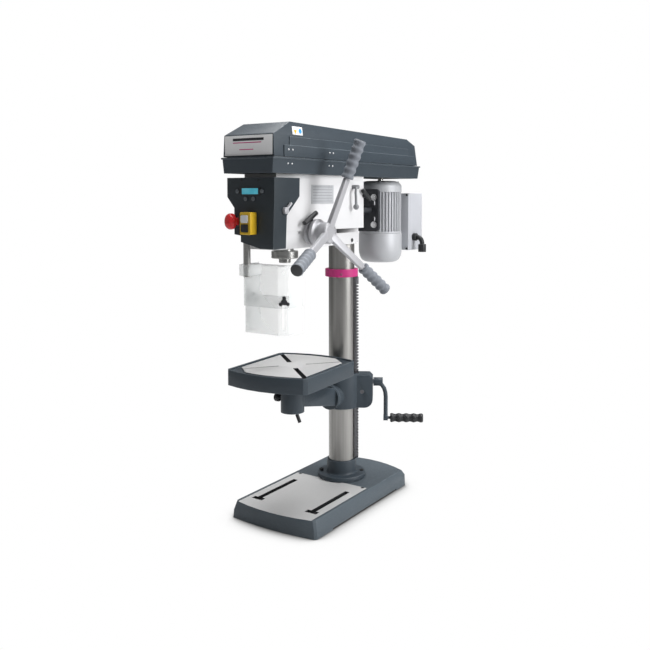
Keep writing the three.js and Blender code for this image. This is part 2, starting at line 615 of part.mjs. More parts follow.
function makeFeedHub() {
  let hub = alongX(turned([[0, 84], [36, 84], [38, 86], [38, 94], [30, 97], [27, 105], [29, 108], [30, 110],
    [30, 131], [27, 135], [22, 135], [21, 133.5], [0, 133.5]], 24)).translate(0, FEED.y, FEED.z);
  for (let index = 0; index < 3; index += 1) {
    const far = ARM_LENGTH - 1;
    const blade = hull([[-7, -12, 12], [7, -12, 12], [-7, 12, 12], [7, 12, 12],
      [-6, -11, far], [6, -11, far], [-6, 11, far], [6, 11, far]]);
    const stud = bar(7, ARM_LENGTH - 6, ARM_LENGTH + 46, 12);
    hub = join(hub, blade.applyMatrix4(armFrame(index)), stud.applyMatrix4(armFrame(index)));
  }
  const bore = alongX(bar(9 + GAP, 80, 112 + GAP, 20)).translate(0, FEED.y, FEED.z);
  return cut(hub, bore);
}

add("feed_hub", makeFeedHub(), "silver");
for (let index = 0; index < 3; index += 1) {
  const handle = grip(ARM_LENGTH, ARM_LENGTH + GRIP_LENGTH, 17.5, 7 + GAP, 50, 4);
  add(`feed_grip_${index + 1}`, handle.applyMatrix4(armFrame(index)), "gripGrey");
}

const ringProfile = [[9 + GAP, SIDE + GAP], [34, SIDE + GAP], [34, 74], [33, 75], [26, 75], [26, 82],
  [9 + GAP, 82], [9 + GAP, SIDE + GAP]];
add("depth_ring", alongX(turned(ringProfile, 24)).translate(0, FEED.y, FEED.z), "silver");
add("depth_clamp", join(strut([78, -306, 850], [78, -250, 878], 7, 16),
  strut([78, -281, 862], [78, FEED.y - 9, FEED.z + 34.6], 4, 10)), "black");
add("spring_cap", alongX(turned([[0, -90], [28, -90], [33, -86], [33, -SIDE - GAP], [0, -SIDE - GAP]], 24))
  .translate(0, FEED.y, FEED.z), "anthracite");

// ---- belt drive ----
function pulley(sheaveR, top, bottom, bore, hubR, hubBottom) {
  const { z, halfTop, halfFoot, depth } = BELT;
  const outerR = sheaveR + 2;
  const floorR = sheaveR - depth - 1.5;
  return turned([[bore, hubBottom], [hubR, hubBottom], [hubR, bottom], [outerR, bottom],
    [outerR, z - halfTop - 1.2], [floorR, z - halfFoot - 0.6], [floorR, z + halfFoot + 0.6],
    [outerR, z + halfTop + 1.2], [outerR, top], [bore, top], [bore, hubBottom]], 24);
}

add("spindle_pulley", pulley(BELT.spindleR, 1056, 1024, 9 + GAP, SLEEVE.r, SLEEVE.bottom)
  .translate(0, SPINDLE_Y, 0), "motorGrey");
add("motor_pulley", pulley(BELT.motorR, 1056, 1024, 9 + GAP, 18, 1014)
  .translate(0, MOTOR.y, 0), "motorGrey");

// The loop that a belt of the given half width takes around both pulleys.
function beltLoop(offset) {
  const [rA, rB] = [BELT.spindleR + offset, BELT.motorR + offset];
  const lean = Math.asin((rA - rB) / (MOTOR.y - SPINDLE_Y));
  const loop = [];
  for (let step = 0; step <= 16; step += 1) {
    const angle = Math.PI - lean + (step / 16) * (Math.PI + 2 * lean);
    loop.push([rA * Math.cos(angle), SPINDLE_Y + rA * Math.sin(angle)]);
  }
  for (let step = 0; step <= 16; step += 1) {
    const angle = lean + (step / 16) * (Math.PI - 2 * lean);
    loop.push([rB * Math.cos(angle), MOTOR.y + rB * Math.sin(angle)]);
  }
  return loop;
}

function makeBelt() {
  const { z, halfFoot, depth } = BELT;
  const outside = slab(beltLoop(0), z - halfFoot, z + halfFoot);
  return cut(outside, slab(beltLoop(-depth), z - 10, z + 10));
}

add("drive_belt", makeBelt(), "black");

// ---- belt guard: tray and hinged cover ----
function makeTray() {
  const { halfLip, halfFloor, front, rear, floor, lip, wall } = TRAY;
  const middle = (front + rear) / 2;
  const level = (half, y0, y1, z) => roundedRectangle(half, (y1 - y0) / 2, 5, 2, 0, (y0 + y1) / 2)
    .map(([x, y]) => [x, y, z]);
  const shell = (inset, low, high) => hull([
    ...level(halfFloor - inset, front + 4 + inset, rear - 7 - inset, low),
    ...level(halfLip - 3 - inset, front + 3 + inset, rear - 3 - inset, high)]);
  const inner = shell(wall, floor + wall, lip + 1);
  const rim = slab(roundedRectangle(halfLip, (rear - front) / 2, 7, 2, 0, middle), lip - 4, lip);
  const shaftSlot = slab(roundedRectangle(16, 34, 15.9, 4, 0, MOTOR.y - 6), floor - 1, floor + 10);
  const sleeveHole = bar(22, floor - 1, floor + 10, 24).translate(0, SPINDLE_Y, 0);
  return cut(join(shell(0, floor, lip), rim), inner, sleeveHole, shaftSlot);
}

add("belt_tray", makeTray(), "anthracite");

// One shell of the cover, drawn in by `inset` on every side.
function coverShell(inset, below) {
  const { foot, half, front, rear, label, ridge } = COVER;
  const side = (x, y, z) => [[x - inset, y, z], [-x + inset, y, z]];
  return hull([
    ...side(half, front + inset, foot - below), ...side(half, rear - inset, foot - below),
    ...side(half - 3, front + 1 + inset, label - 3 - inset),
    ...side(half - 6, front + 5 + inset, label - inset),
    ...side(79, -373 + inset * 0.5, ridge - inset), ...side(79, 275 - inset * 0.5, ridge - 8 - inset),
    ...side(80, 329 - inset, ridge - 27 - inset),
  ]);
}

function makeCover() {
  const { foot } = COVER;
  let cover = solid(coverShell(0, 0));
  for (const side of [-1, 1]) {
    const between = (outer) => (side > 0 ? [70, outer] : [-outer, -70]);
    cover = join(cover, block(...between(86.6), -383, 271, foot, 1081),
      block(...between(88.8), -409, 308, foot, 1058));
  }
  return cut(cover, coverShell(COVER.wall, 1));
}

add("belt_cover", makeCover(), "anthracite");

// ---- control hood with its controls ----
const HOOD_FRONT_OUTLINE = [[-80, 973], [-80, 922], [-56, 893], [-56, 822], [-34, 819], [-34, 802],
  [30, 786], [74, 785], [79, 905], [80, 973]];

// The emergency stop stands on the hood's front, turned outwards: +Z becomes its direction.
const STOP = { x: -39, y: HOOD.front, z: 857, turn: 60, collarR: 14, stemR: 10 };
const alongStop = (geometry) => geometry.rotateX(Math.PI / 2).rotateZ(degrees(STOP.turn - 90))
  .translate(STOP.x, STOP.y, STOP.z);

function makeHood() {
  const { front, topRear, lowRear, top, wall } = HOOD;
  const profile = [[front, top], [topRear, top], [topRear, 924], [lowRear, 873], [lowRear, 780],
    [front + 3, 780], [front, 800]];
  const outer = common(slabY(HOOD_FRONT_OUTLINE, front, topRear), slabX(profile, -90, 90));
  const inner = HOOD_FRONT_OUTLINE.map(([x, z]) => [x - Math.sign(x) * wall, z > 950 ? z - wall : z]);
  const cavity = common(slabY(inner, front + wall, topRear + 40),
    block(-90, 90, front, topRear + 40, 826, top - wall));
  const open = inner.map(([x, z]) => [x, z < 830 ? z - 30 : z]);
  const lower = common(block(-51, 61, front + wall, topRear + 20, 760, 840), slabY(open, front, -300));
  const shell = join(cut(outer, cavity, lower), alongStop(bar(STOP.collarR, -14, 4, 20)));
  return cut(shell, bar(ROD.r + 1, 770, 840, 20).translate(ROD.x, ROD.y, 0),
    alongStop(bar(STOP.stemR + GAP, -8, 12, 20)), headEnvelope(-GAP - 0.2));
}

add("control_hood", makeHood(), "anthracite");

const PANEL_FACE = HOOD.front - GAP;
add("display_window", block(-28, 27, PANEL_FACE - 1.5, PANEL_FACE, 929, 945), "blue");
for (const [index, [x, z]] of [[-43, 937], [40, 937], [-15, 917], [11, 917]].entries()) {
  add(`panel_button_${index + 1}`, towardsFront(turned([[0, 0], [6, 0], [6, 1.6], [5, 2.4], [0, 2.4]], 16))
    .translate(x, PANEL_FACE - 1, z), "endGrey");
}

const SWITCH = { left: -14, right: 21, bottom: 823, top: 882, face: -468 };
const ROCKER = { x: 1.5, startZ: 864, stopZ: 840, halfX: 11.5, halfZ: 10 };

function makeSwitchHousing() {
  const { left, right, bottom, top, face } = SWITCH;
  const [x, z] = [(left + right) / 2, (bottom + top) / 2];
  const outline = roundedRectangle((right - left) / 2, (top - bottom) / 2, 3, 2, x, z);
  const pocket = (height) => block(ROCKER.x - ROCKER.halfX - 0.5, ROCKER.x + ROCKER.halfX + 0.5,
    face - 1, face + 8, height - ROCKER.halfZ - 0.5, height + ROCKER.halfZ + 0.5);
  return cut(slabY(outline, face, PANEL_FACE), pocket(ROCKER.startZ), pocket(ROCKER.stopZ));
}

function makeRocker(height) {
  const outline = roundedRectangle(ROCKER.halfX, ROCKER.halfZ, 3, 2, ROCKER.x, height);
  return slabY(outline, SWITCH.face - 2.5, SWITCH.face + 5);
}

add("switch_plate", makeSwitchHousing(), "yellow");
add("start_button", makeRocker(ROCKER.startZ), "offWhite");
add("stop_button", makeRocker(ROCKER.stopZ), "black");
const mushroom = [[0, -1.5], [STOP.stemR, -1.5], [STOP.stemR, 11], [20, 15], [21.5, 20], [21.5, 27],
  [18, 34], [10, 38], [0, 39]];
add("emergency_stop", alongStop(turned(mushroom, 20)), "red");
add("hood_lever", join(alongX(bar(9, 79.4, 88, 20)).translate(0, -398, 886),
  hull([[82, -404, 880], [88, -404, 880], [82, -396, 892], [88, -396, 892], [84, -376, 904], [90, -376, 904],
    [84, -380, 908], [90, -380, 908]])), "black");

// ---- chuck guard ----
// Mitred offset of an open path of [x, y] points, to its left by `distance`.
function offsetPath(path, distance) {
  return path.map((point, index) => {
    const before = path[Math.max(index - 1, 0)];
    const after = path[Math.min(index + 1, path.length - 1)];
    const unit = (from, to) => {
      const length = Math.hypot(to[0] - from[0], to[1] - from[1]);
      return length ? [(to[0] - from[0]) / length, (to[1] - from[1]) / length] : null;
    };
    const first = unit(before, point) ?? unit(point, after);
    const second = unit(point, after) ?? first;
    const normal = [-(first[1] + second[1]), first[0] + second[0]];
    const scale = distance / (0.5 * (normal[0] ** 2 + normal[1] ** 2));
    return [point[0] + normal[0] * scale, point[1] + normal[1] * scale];
  });
}

const GUARD_PATH = [[-88, -300], [-88, -356], [-82, -372], [-72, -378], [40, -378], [63, -355], [63, -292]];

function sheet(inset, z0, z1) {
  const outer = offsetPath(GUARD_PATH, inset);
  const inner = offsetPath(GUARD_PATH, inset + GUARD.sheet);
  return slab([...outer, ...inner.reverse()], z0, z1);
}

const CHAMFER = { x: 51.5, y: -366.5, z: 640 };
const turnToChamfer = (geometry) => geometry.rotateZ(degrees(45)).translate(CHAMFER.x, CHAMFER.y, 0);

function makeUpperGuard() {
  const clampOutline = roundedRectangle(17, 30, 4, 2, ROD.x - 1, ROD.y + 17);
  const roof = block(-86, 61, -377, -345, GUARD.top - 3, GUARD.top);
  return cut(join(sheet(0, GUARD.split, GUARD.top), slab(clampOutline, GUARD.top - 26, GUARD.top + 4), roof),
    bar(ROD.r + GAP, 700, 760, 20).translate(ROD.x, ROD.y, 0),
    turnToChamfer(towardsFront(bar(3.4, -6, 9, 12)).translate(0, 0, CHAMFER.z)),
    turnToChamfer(towardsFront(bar(4, -6, 9, 12)).translate(0, 0, 718)),
    alongX(bar(3.4, -96, -76, 12)).translate(0, -330, 648));
}

add("guard_rod", bar(ROD.r, GUARD.top - 30, 834, 24).translate(ROD.x, ROD.y, 0), "steel");
add("guard_upper", makeUpperGuard(), "clear");

function makeLowerGuard() {
  const slot = { half: 3.6, from: 562, to: 648 };
  return cut(sheet(GUARD.sheet + 0.5, GUARD.bottom, GUARD.overlap),
    turnToChamfer(block(-slot.half, slot.half, -8, 12, slot.from, slot.to)),
    block(-90, -70, -330 - slot.half, -330 + slot.half, slot.from, slot.to + 4));
}

add("guard_lower", makeLowerGuard(), "clear");

// A clamping knob about -Y: three lobes, a collar and a short screw.
function lobedKnob(lobes, lobeR, reach) {
  let knob = join(towardsFront(bar(8, 3.2, 16, 16)), towardsFront(bar(3, -8, 4, 12)));
  for (let lobe = 0; lobe < lobes; lobe += 1) {
    const angle = degrees(90 + (360 / lobes) * lobe);
    const place = (turn, y) => [reach * Math.cos(angle + turn), y, reach * Math.sin(angle + turn)];
    const [x, , z] = place(0, 0);
    knob = join(knob, towardsFront(bar(lobeR, 7, 16, 12)).translate(x, 0, z),
      hull([[0, -7, 0], [0, -16, 0], place(0.35, -7), place(0.35, -16), place(-0.35, -7),
        place(-0.35, -16)]));
  }
  return knob;
}

add("guard_knob_front", geometryOf(lobedKnob(3, 5, 11)).rotateZ(degrees(45))
  .translate(CHAMFER.x, CHAMFER.y, CHAMFER.z), "black");
add("guard_knob_side", geometryOf(lobedKnob(2, 5, 12)).rotateZ(degrees(-90))
  .translate(-88, -330, 648), "black");

// ---- motor, its carrier and control box ----
function motorSection() {
  const outline = [];
  const fins = 18;
  for (let fin = 0; fin < fins; fin += 1) {
    const step = (2 * Math.PI) / fins;
    for (const [r, at] of [[MOTOR.r - 5, 0], [MOTOR.r, 0.08], [MOTOR.r, 0.42], [MOTOR.r - 5, 0.5]]) {
      outline.push([r * Math.cos(step * (fin + at)), MOTOR.y + r * Math.sin(step * (fin + at))]);
    }
  }
  return outline;
}

function makeMotor() {
  const { finBottom, finTop, top, r, y } = MOTOR;
  const feet = [-1, 1].map((side) => block(side * 24 - 9, side * 24 + 9,
    PLATE.y + PLATE.thick + GAP, y - 50, 826, 936));
  const bell = turned([[0, finTop - 1], [r + 1.5, finTop - 1], [r + 1.5, finTop + 20], [r - 5, top - 7],
    [r - 22, top], [0, top]], 24);
  const foot = bar(r + 1, finBottom - 6 + GAP, finBottom + 1, 24);
  return cut(join(slab(motorSection(), finBottom, finTop), foot.translate(0, y, 0),
    bell.translate(0, y, 0), ...feet),
  bar(r - 16, finBottom - 10, finTop - 12, 24).translate(0, y, 0),
  bar(10, finTop - 20, top + 1, 16).translate(0, y, 0));
}

add("motor_body", makeMotor(), "motorGrey");
add("motor_shaft", turned([[0, 815], [9, 815], [9, 1066], [0, 1066]], 20).translate(0, MOTOR.y, 0), "steel");

function makeCowl() {
  const { r, y, finBottom, cowlBottom } = MOTOR;
  const top = finBottom - 6;
  const profile = [[0, cowlBottom], [r - 22, cowlBottom + 1], [r - 9, cowlBottom + 7],
    [r - 1, cowlBottom + 20], [r + 2.5, cowlBottom + 40], [r + 2.5, top], [r - 1, top],
    [r - 1, cowlBottom + 42], [r - 5, cowlBottom + 22], [r - 14, cowlBottom + 9], [0, cowlBottom + 5]];
  return turned(profile, 24).translate(0, y, 0);
}

add("motor_cowl", makeCowl(), "motorGrey");

function makeCarrier() {
  const { y, thick, half, bottom, top } = PLATE;
  const outline = roundedRectangle(half, (top - bottom) / 2, 10, 3, 0, (top + bottom) / 2);
  let carrier = solid(slabY(outline, y, y + thick));
  for (const side of [-1, 1]) {
    carrier = join(carrier, alongY(bar(BAR.r, BAR.inner, y + 1, 20)).translate(side * BAR.x, 0, BAR.z));
    const x = side * 77;
    const slot = (from, to) => block(x - 4, x + 4, y - 1, y + thick + 1, from, to);
    carrier = cut(carrier, slot(848, 860), slot(897, 909));
  }
  return carrier;
}

add("motor_carrier", makeCarrier(), "black");
add("tension_lever", join(alongX(bar(6, 62, 95, 16)).translate(0, -53, 952),
  bentBar([[91, -53, 952], [92, -60, 950], [92, -64, 940], [92, -63, 918], [92, -62, 900]], 4),
  new THREE.SphereGeometry(9, 10, 7).translate(92, -62, 893)), "silver");
add("carrier_lock_lever", join(alongX(bar(6, 60, 86, 16)).translate(0, 2, 926),
  strut([87, -12, 940], [87, 26, 914], 6.5, 14),
  new THREE.SphereGeometry(8, 10, 7).translate(87, -12, 940)), "black");

function makeControlBox() {
  const { half, front, back, rear, bottom, top } = BOX;
  const from = front + back;
  const outline = roundedRectangle(half, (rear - from) / 2, 6, 3, 0, (from + rear) / 2);
  return cut(slab(outline, bottom, top),
    block(-half + 4, half - 4, front, rear - 4, bottom + 4, top - 4));
}

function makeBoxBack() {
  const { half, front, back, bottom, top } = BOX;
  const plate = block(-half, half, front, front + back - GAP, bottom + 2, top - 2);
  return join(plate, block(-30, 30, MOTOR.y + MOTOR.r + 2, front + 1, 826, 926));
}

add("control_box", makeControlBox(), "boxGrey");
add("control_box_base", makeBoxBack(), "boxGrey");

function makeGland() {
  const start = BOX.half + GAP;
  const [y, z] = [349, 786];
  const elbow = [[start + 10, y, z], [start + 22, y, z - 2], [start + 31, y, z - 12],
    [start + 33, y, z - 26]];
  return join(alongX(bar(13, start, start + 12, 20)).translate(0, y, z), bentBar(elbow, 8, 6, 10),
    bar(14, z - 50, z - 24, 8).translate(start + 33, y, 0));
}

add("box_gland", makeGland(), "black");

export default drillPress;
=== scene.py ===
# %% [markdown]
# # A bench drill press, finished piece by piece
# The mechanical model gives every body, joint and size. This script keeps that frame and gives
# each piece its rounded edges, small hardware and surface finish. All sizes below are in
# millimetres and are turned into metres when a mesh is made.
# %% Frame
import json
import math
import bmesh
import bpy
from mathutils import Matrix, Vector
from mathutils.bvhtree import BVHTree

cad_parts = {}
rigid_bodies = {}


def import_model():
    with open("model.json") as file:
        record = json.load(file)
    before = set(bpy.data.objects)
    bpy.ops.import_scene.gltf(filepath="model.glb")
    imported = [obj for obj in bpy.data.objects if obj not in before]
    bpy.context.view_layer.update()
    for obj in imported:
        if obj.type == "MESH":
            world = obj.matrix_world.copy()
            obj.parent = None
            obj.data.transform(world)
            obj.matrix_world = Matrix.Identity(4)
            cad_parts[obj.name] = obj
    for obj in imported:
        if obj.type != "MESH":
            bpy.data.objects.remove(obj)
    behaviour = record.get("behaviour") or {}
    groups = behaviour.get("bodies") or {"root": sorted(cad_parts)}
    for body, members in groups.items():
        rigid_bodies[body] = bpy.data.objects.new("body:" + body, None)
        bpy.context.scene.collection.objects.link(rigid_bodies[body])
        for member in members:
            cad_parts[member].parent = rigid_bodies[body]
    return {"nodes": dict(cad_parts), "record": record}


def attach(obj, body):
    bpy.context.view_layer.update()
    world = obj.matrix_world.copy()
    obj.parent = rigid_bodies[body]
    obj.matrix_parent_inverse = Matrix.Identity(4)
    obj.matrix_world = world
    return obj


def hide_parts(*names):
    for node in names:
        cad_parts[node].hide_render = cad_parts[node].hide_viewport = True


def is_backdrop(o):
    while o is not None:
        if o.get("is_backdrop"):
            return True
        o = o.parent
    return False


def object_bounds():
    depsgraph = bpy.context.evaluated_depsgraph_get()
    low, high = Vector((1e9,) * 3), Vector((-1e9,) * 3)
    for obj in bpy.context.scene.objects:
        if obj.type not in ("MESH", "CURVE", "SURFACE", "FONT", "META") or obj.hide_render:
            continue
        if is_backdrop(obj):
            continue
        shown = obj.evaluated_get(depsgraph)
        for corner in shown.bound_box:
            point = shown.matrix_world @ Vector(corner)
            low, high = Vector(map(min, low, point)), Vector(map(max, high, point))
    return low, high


for leftover in list(bpy.data.objects):
    bpy.data.objects.remove(leftover)
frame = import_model()
cad_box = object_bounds()
record = frame["record"]
nodes = frame["nodes"]
body_of = {n: body for body, members in record["behaviour"]["bodies"].items() for n in members}
MM = 0.001

# %% [markdown]
# The camera stands a little above the middle of the machine, to the operator's right. A long
# lens keeps the column upright, and a small shift frames the machine instead of a tilt.
# %% Camera
camera_data = bpy.data.cameras.new("camera")
camera_data.lens = 44.35
camera_data.sensor_width = 36
camera_data.shift_x = -0.0255
camera_data.shift_y = -0.130
camera_data.clip_end = 60
camera = bpy.data.objects.new("camera", camera_data)
bpy.context.scene.collection.objects.link(camera)
camera.location = (1.3522, -2.0822, 0.9196)
camera.rotation_euler = (math.radians(90 - 3.05), 0, math.radians(33))
bpy.context.scene.camera = camera
print("camera lens", camera_data.lens)

# %% [markdown]
# ## Shared surface effects
# Paint, cast metal and plastic all need slow changes of tone, a fine grain and a little relief.
# One node group makes those three values from noise at two scales, so that each finish only
# chooses how large and how strong they are.
# %% Grain group
def start_group(name, inputs, outputs):
    group = bpy.data.node_groups.new(name, "ShaderNodeTree")
    for label, kind, value in inputs:
        socket = group.interface.new_socket(label, in_out="INPUT", socket_type=kind)
        if value is not None:
            socket.default_value = value
    for label, kind in outputs:
        group.interface.new_socket(label, in_out="OUTPUT", socket_type=kind)
    return group, group.nodes.new("NodeGroupInput"), group.nodes.new("NodeGroupOutput")


def math_node(tree, operation, first, second=None, clamp=False):
    node = tree.nodes.new("ShaderNodeMath")
    node.operation = operation
    node.use_clamp = clamp
    for socket, value in zip(node.inputs, (first, second)):
        if value is None:
            continue
        if isinstance(value, (int, float)):
            socket.default_value = value
        else:
            tree.links.new(value, socket)
    return node.outputs[0]


def noise(tree, vector, scale, detail=3.0, rough=0.55):
    node = tree.nodes.new("ShaderNodeTexNoise")
    tree.links.new(vector, node.inputs["Vector"])
    if isinstance(scale, (int, float)):
        node.inputs["Scale"].default_value = scale
    else:
        tree.links.new(scale, node.inputs["Scale"])
    node.inputs["Detail"].default_value = detail
    node.inputs["Roughness"].default_value = rough
    return node.outputs["Fac"]


def make_grain_group():
    group, given, made = start_group(
        "surface_grain",
        [("Vector", "NodeSocketVector", None), ("Scale", "NodeSocketFloat", 300.0),
         ("Patch scale", "NodeSocketFloat", 7.0)],
        [("Tone", "NodeSocketFloat"), ("Fine", "NodeSocketFloat"), ("Relief", "NodeSocketFloat")])
    patches = noise(group, given.outputs["Vector"], given.outputs["Patch scale"], 4.0, 0.6)
    fine = noise(group, given.outputs["Vector"], given.outputs["Scale"], 2.0, 0.5)
    cells = group.nodes.new("ShaderNodeTexVoronoi")
    group.links.new(given.outputs["Vector"], cells.inputs["Vector"])
    group.links.new(given.outputs["Scale"], cells.inputs["Scale"])
    relief = math_node(group, "ADD", fine, math_node(group, "MULTIPLY", cells.outputs["Distance"], 0.6))
    group.links.new(patches, made.inputs["Tone"])
    group.links.new(fine, made.inputs["Fine"])
    group.links.new(relief, made.inputs["Relief"])
    return group


grain_group = make_grain_group()
print("group", grain_group.name)

# %% [markdown]
# Corners lose paint first, and a painted highlight stands in for the light caught along every edge. Comparing the
# true normal with one that is averaged over a small radius gives a mask that is bright only near edges, whatever the
# mesh looks like.
# %% Edge wear and painted highlight group
def make_wear_highlight_group():
    group, given, made = start_group(
        "wear_and_painted_highlight",
        [("Fine", "NodeSocketFloat", 0.5), ("Amount", "NodeSocketFloat", 1.0)],
        [("Mask", "NodeSocketFloat")])
    rounded = group.nodes.new("ShaderNodeBevel")
    rounded.samples = 4
    rounded.inputs["Radius"].default_value = 0.0022
    plain = group.nodes.new("ShaderNodeNewGeometry")
    dot = group.nodes.new("ShaderNodeVectorMath")
    dot.operation = "DOT_PRODUCT"
    group.links.new(rounded.outputs["Normal"], dot.inputs[0])
    group.links.new(plain.outputs["Normal"], dot.inputs[1])
    edge = math_node(group, "MULTIPLY", math_node(group, "SUBTRACT", 1.0, dot.outputs["Value"]), 5.0, True)
    broken = math_node(group, "MULTIPLY", edge, math_node(group, "POWER", given.outputs["Fine"], 0.6))
    mask = math_node(group, "MULTIPLY", broken, given.outputs["Amount"], True)
    group.links.new(mask, made.inputs["Mask"])
    return group


wear_highlight_group = make_wear_highlight_group()
print("group", wear_highlight_group.name)

# %% [markdown]
# ## Finishes
# Every painted, moulded or cast finish follows one recipe: the grain group shifts the colour and
# the roughness, its relief goes through a bump, and the edge mask lightens corners, partly as wear and partly as a
# painted highlight.
# %% Painted and moulded finishes
def base_material(name):
    material = bpy.data.materials.new(name)
    material.use_nodes = True
    tree = material.node_tree
    shader = tree.nodes["Principled BSDF"]
    place = tree.nodes.new("ShaderNodeTexCoord")
    return material, tree, shader, place.outputs["Object"]


def use_group(tree, group, **values):
    node = tree.nodes.new("ShaderNodeGroup")
    node.node_tree = group
    for label, value in values.items():
        socket = node.inputs[label.replace("_", " ")]
        if isinstance(value, (int, float)):
            socket.default_value = value
        else:
            tree.links.new(value, socket)
    return node.outputs


def mix_colour(tree, factor, first, second, blend="MIX"):
    node = tree.nodes.new("ShaderNodeMix")
    node.data_type = "RGBA"
    node.blend_type = blend
    for socket, value in ((node.inputs[0], factor), (node.inputs[6], first), (node.inputs[7], second)):
        if isinstance(value, (int, float)):
            socket.default_value = value
        elif isinstance(value, tuple):
            socket.default_value = (*value, 1)
        else:
            tree.links.new(value, socket)
    return node.outputs[2]


def spread(tree, value, low, high):
    node = tree.nodes.new("ShaderNodeMapRange")
    tree.links.new(value, node.inputs["Value"])
    node.inputs["From Min"].default_value = 0.25
    node.inputs["From Max"].default_value = 0.75
    node.inputs["To Min"].default_value = low
    node.inputs["To Max"].default_value = high
    return node.outputs["Result"]


def bump(tree, height, distance, strength=1.0):
    node = tree.nodes.new("ShaderNodeBump")
    node.inputs["Distance"].default_value = distance
    node.inputs["Strength"].default_value = strength
    tree.links.new(height, node.inputs["Height"])
    return node.outputs["Normal"]


def coated(name, colour, rough=0.45, vary=0.12, scale=350.0, relief=0.00012, wear_highlight_colour=None, wear_highlight_amount=0.35,
           metal=0.0, patch=7.0, sheen=0.35):
    material, tree, shader, where = base_material(name)
    grain = use_group(tree, grain_group, Vector=where, Scale=scale, Patch_scale=patch)
    dark = tuple(c * (1 - vary) for c in colour)
    light = tuple(min(c * (1 + vary), 1) for c in colour)
    toned = mix_colour(tree, spread(tree, grain["Tone"], 0.0, 1.0), dark, light)
    speckled = mix_colour(tree, spread(tree, grain["Fine"], 0.0, 0.25), toned, dark)
    # Lighter edges: partly paint worn off, partly a painted highlight where edges catch the light.
    edge = use_group(tree, wear_highlight_group, Fine=grain["Fine"], Amount=wear_highlight_amount)
    wear_highlight_colour = wear_highlight_colour or tuple(min(c * 1.6 + 0.03, 1) for c in colour)
    tree.links.new(mix_colour(tree, edge["Mask"], speckled, wear_highlight_colour), shader.inputs["Base Color"])
    tree.links.new(spread(tree, grain["Fine"], rough - 0.06, rough + 0.1), shader.inputs["Roughness"])
    tree.links.new(bump(tree, grain["Relief"], relief), shader.inputs["Normal"])
    shader.inputs["Metallic"].default_value = metal
    shader.inputs["Specular IOR Level"].default_value = sheen
    return material


# The lighter colour and amount given after the relief are the edge colour: wear plus a painted highlight.
anthracite = coated("anthracite_enamel", (0.032, 0.044, 0.056), 0.48, 0.08, 420, 0.00010,
                    (0.24, 0.28, 0.31), 0.8)
casting_grey = coated("base_enamel", (0.066, 0.083, 0.098), 0.50, 0.10, 260, 0.00022,
                      (0.26, 0.30, 0.33), 0.7)
hood_grey = coated("hood_plastic", (0.020, 0.028, 0.035), 0.46, 0.08, 700, 0.00006,
                   (0.10, 0.12, 0.13), 0.6)
white_enamel = coated("white_enamel", (0.62, 0.62, 0.63), 0.42, 0.02, 300, 0.00008, wear_highlight_amount=0.1)
magenta = coated("magenta_enamel", (0.46, 0.030, 0.170), 0.36, 0.06, 300, 0.00005, wear_highlight_amount=0.2)
black_plastic = coated("black_plastic", (0.018, 0.019, 0.021), 0.42, 0.15, 800, 0.00005, wear_highlight_amount=0.2)
black_paint = coated("black_paint", (0.020, 0.022, 0.027), 0.45, 0.15, 500, 0.00008, wear_highlight_amount=0.3)
grip_grey = coated("grip_rubber", (0.17, 0.185, 0.21), 0.55, 0.08, 900, 0.00008, wear_highlight_amount=0.15)
grip_end = coated("grip_end", (0.045, 0.048, 0.052), 0.50, 0.10, 900, 0.00006, wear_highlight_amount=0.1)
silver_paint = coated("silver_paint", (0.40, 0.40, 0.42), 0.40, 0.05, 380, 0.00008, metal=0.25, wear_highlight_amount=0.2)
motor_paint = coated("motor_paint", (0.42, 0.43, 0.45), 0.44, 0.05, 340, 0.00010, metal=0.15, wear_highlight_amount=0.2)
box_paint = coated("box_paint", (0.42, 0.43, 0.46), 0.45, 0.04, 420, 0.00008, wear_highlight_amount=0.15)
lever_grey = coated("lever_grey", (0.20, 0.205, 0.215), 0.42, 0.06, 420, 0.00008, metal=0.2, wear_highlight_amount=0.2)
# slot_shade is painted shade: a near-black colour for the dark inside of deep slots.
slot_shade = coated("slot_shade", (0.012, 0.013, 0.015), 0.7, 0.2, 300, 0.0002, wear_highlight_amount=0.05)
yellow = coated("yellow_plastic", (0.60, 0.38, 0.020), 0.38, 0.05, 500, 0.00004, wear_highlight_amount=0.1)
red = coated("red_plastic", (0.56, 0.022, 0.026), 0.26, 0.05, 400, 0.00003, wear_highlight_amount=0.1)
pale_plastic = coated("pale_plastic", (0.62, 0.63, 0.65), 0.35, 0.04, 500, 0.00004, wear_highlight_amount=0.1)
button_grey = coated("button_grey", (0.10, 0.115, 0.13), 0.45, 0.08, 600, 0.00004, wear_highlight_amount=0.3)
belt_rubber = coated("belt_rubber", (0.016, 0.016, 0.017), 0.75, 0.2, 900, 0.00010, wear_highlight_amount=0.1)
cream = coated("label_cream", (0.74, 0.74, 0.75), 0.30, 0.02, 200, 0.00002, wear_highlight_amount=0.05)
sticker_blue = coated("sticker_blue", (0.05, 0.30, 0.62), 0.3, 0.03, 200, 0.00001, wear_highlight_amount=0.0)
plate_grey = coated("plate_grey", (0.42, 0.43, 0.45), 0.3, 0.06, 90, 0.00002, wear_highlight_amount=0.1, patch=30)
print("coated finishes:", len(bpy.data.materials))

# %% [markdown]
# Ground and turned steel carries fine parallel lines. Noise that is stretched along one
# direction makes them: along the column for its drawn tube, round the axis for turned parts,
# and in crossing sweeps for a milled face.
# %% Metal finishes
def stretched(tree, where, scale):
    node = tree.nodes.new("ShaderNodeMapping")
    tree.links.new(where, node.inputs["Vector"])
    node.inputs["Scale"].default_value = scale
    return node.outputs["Vector"]


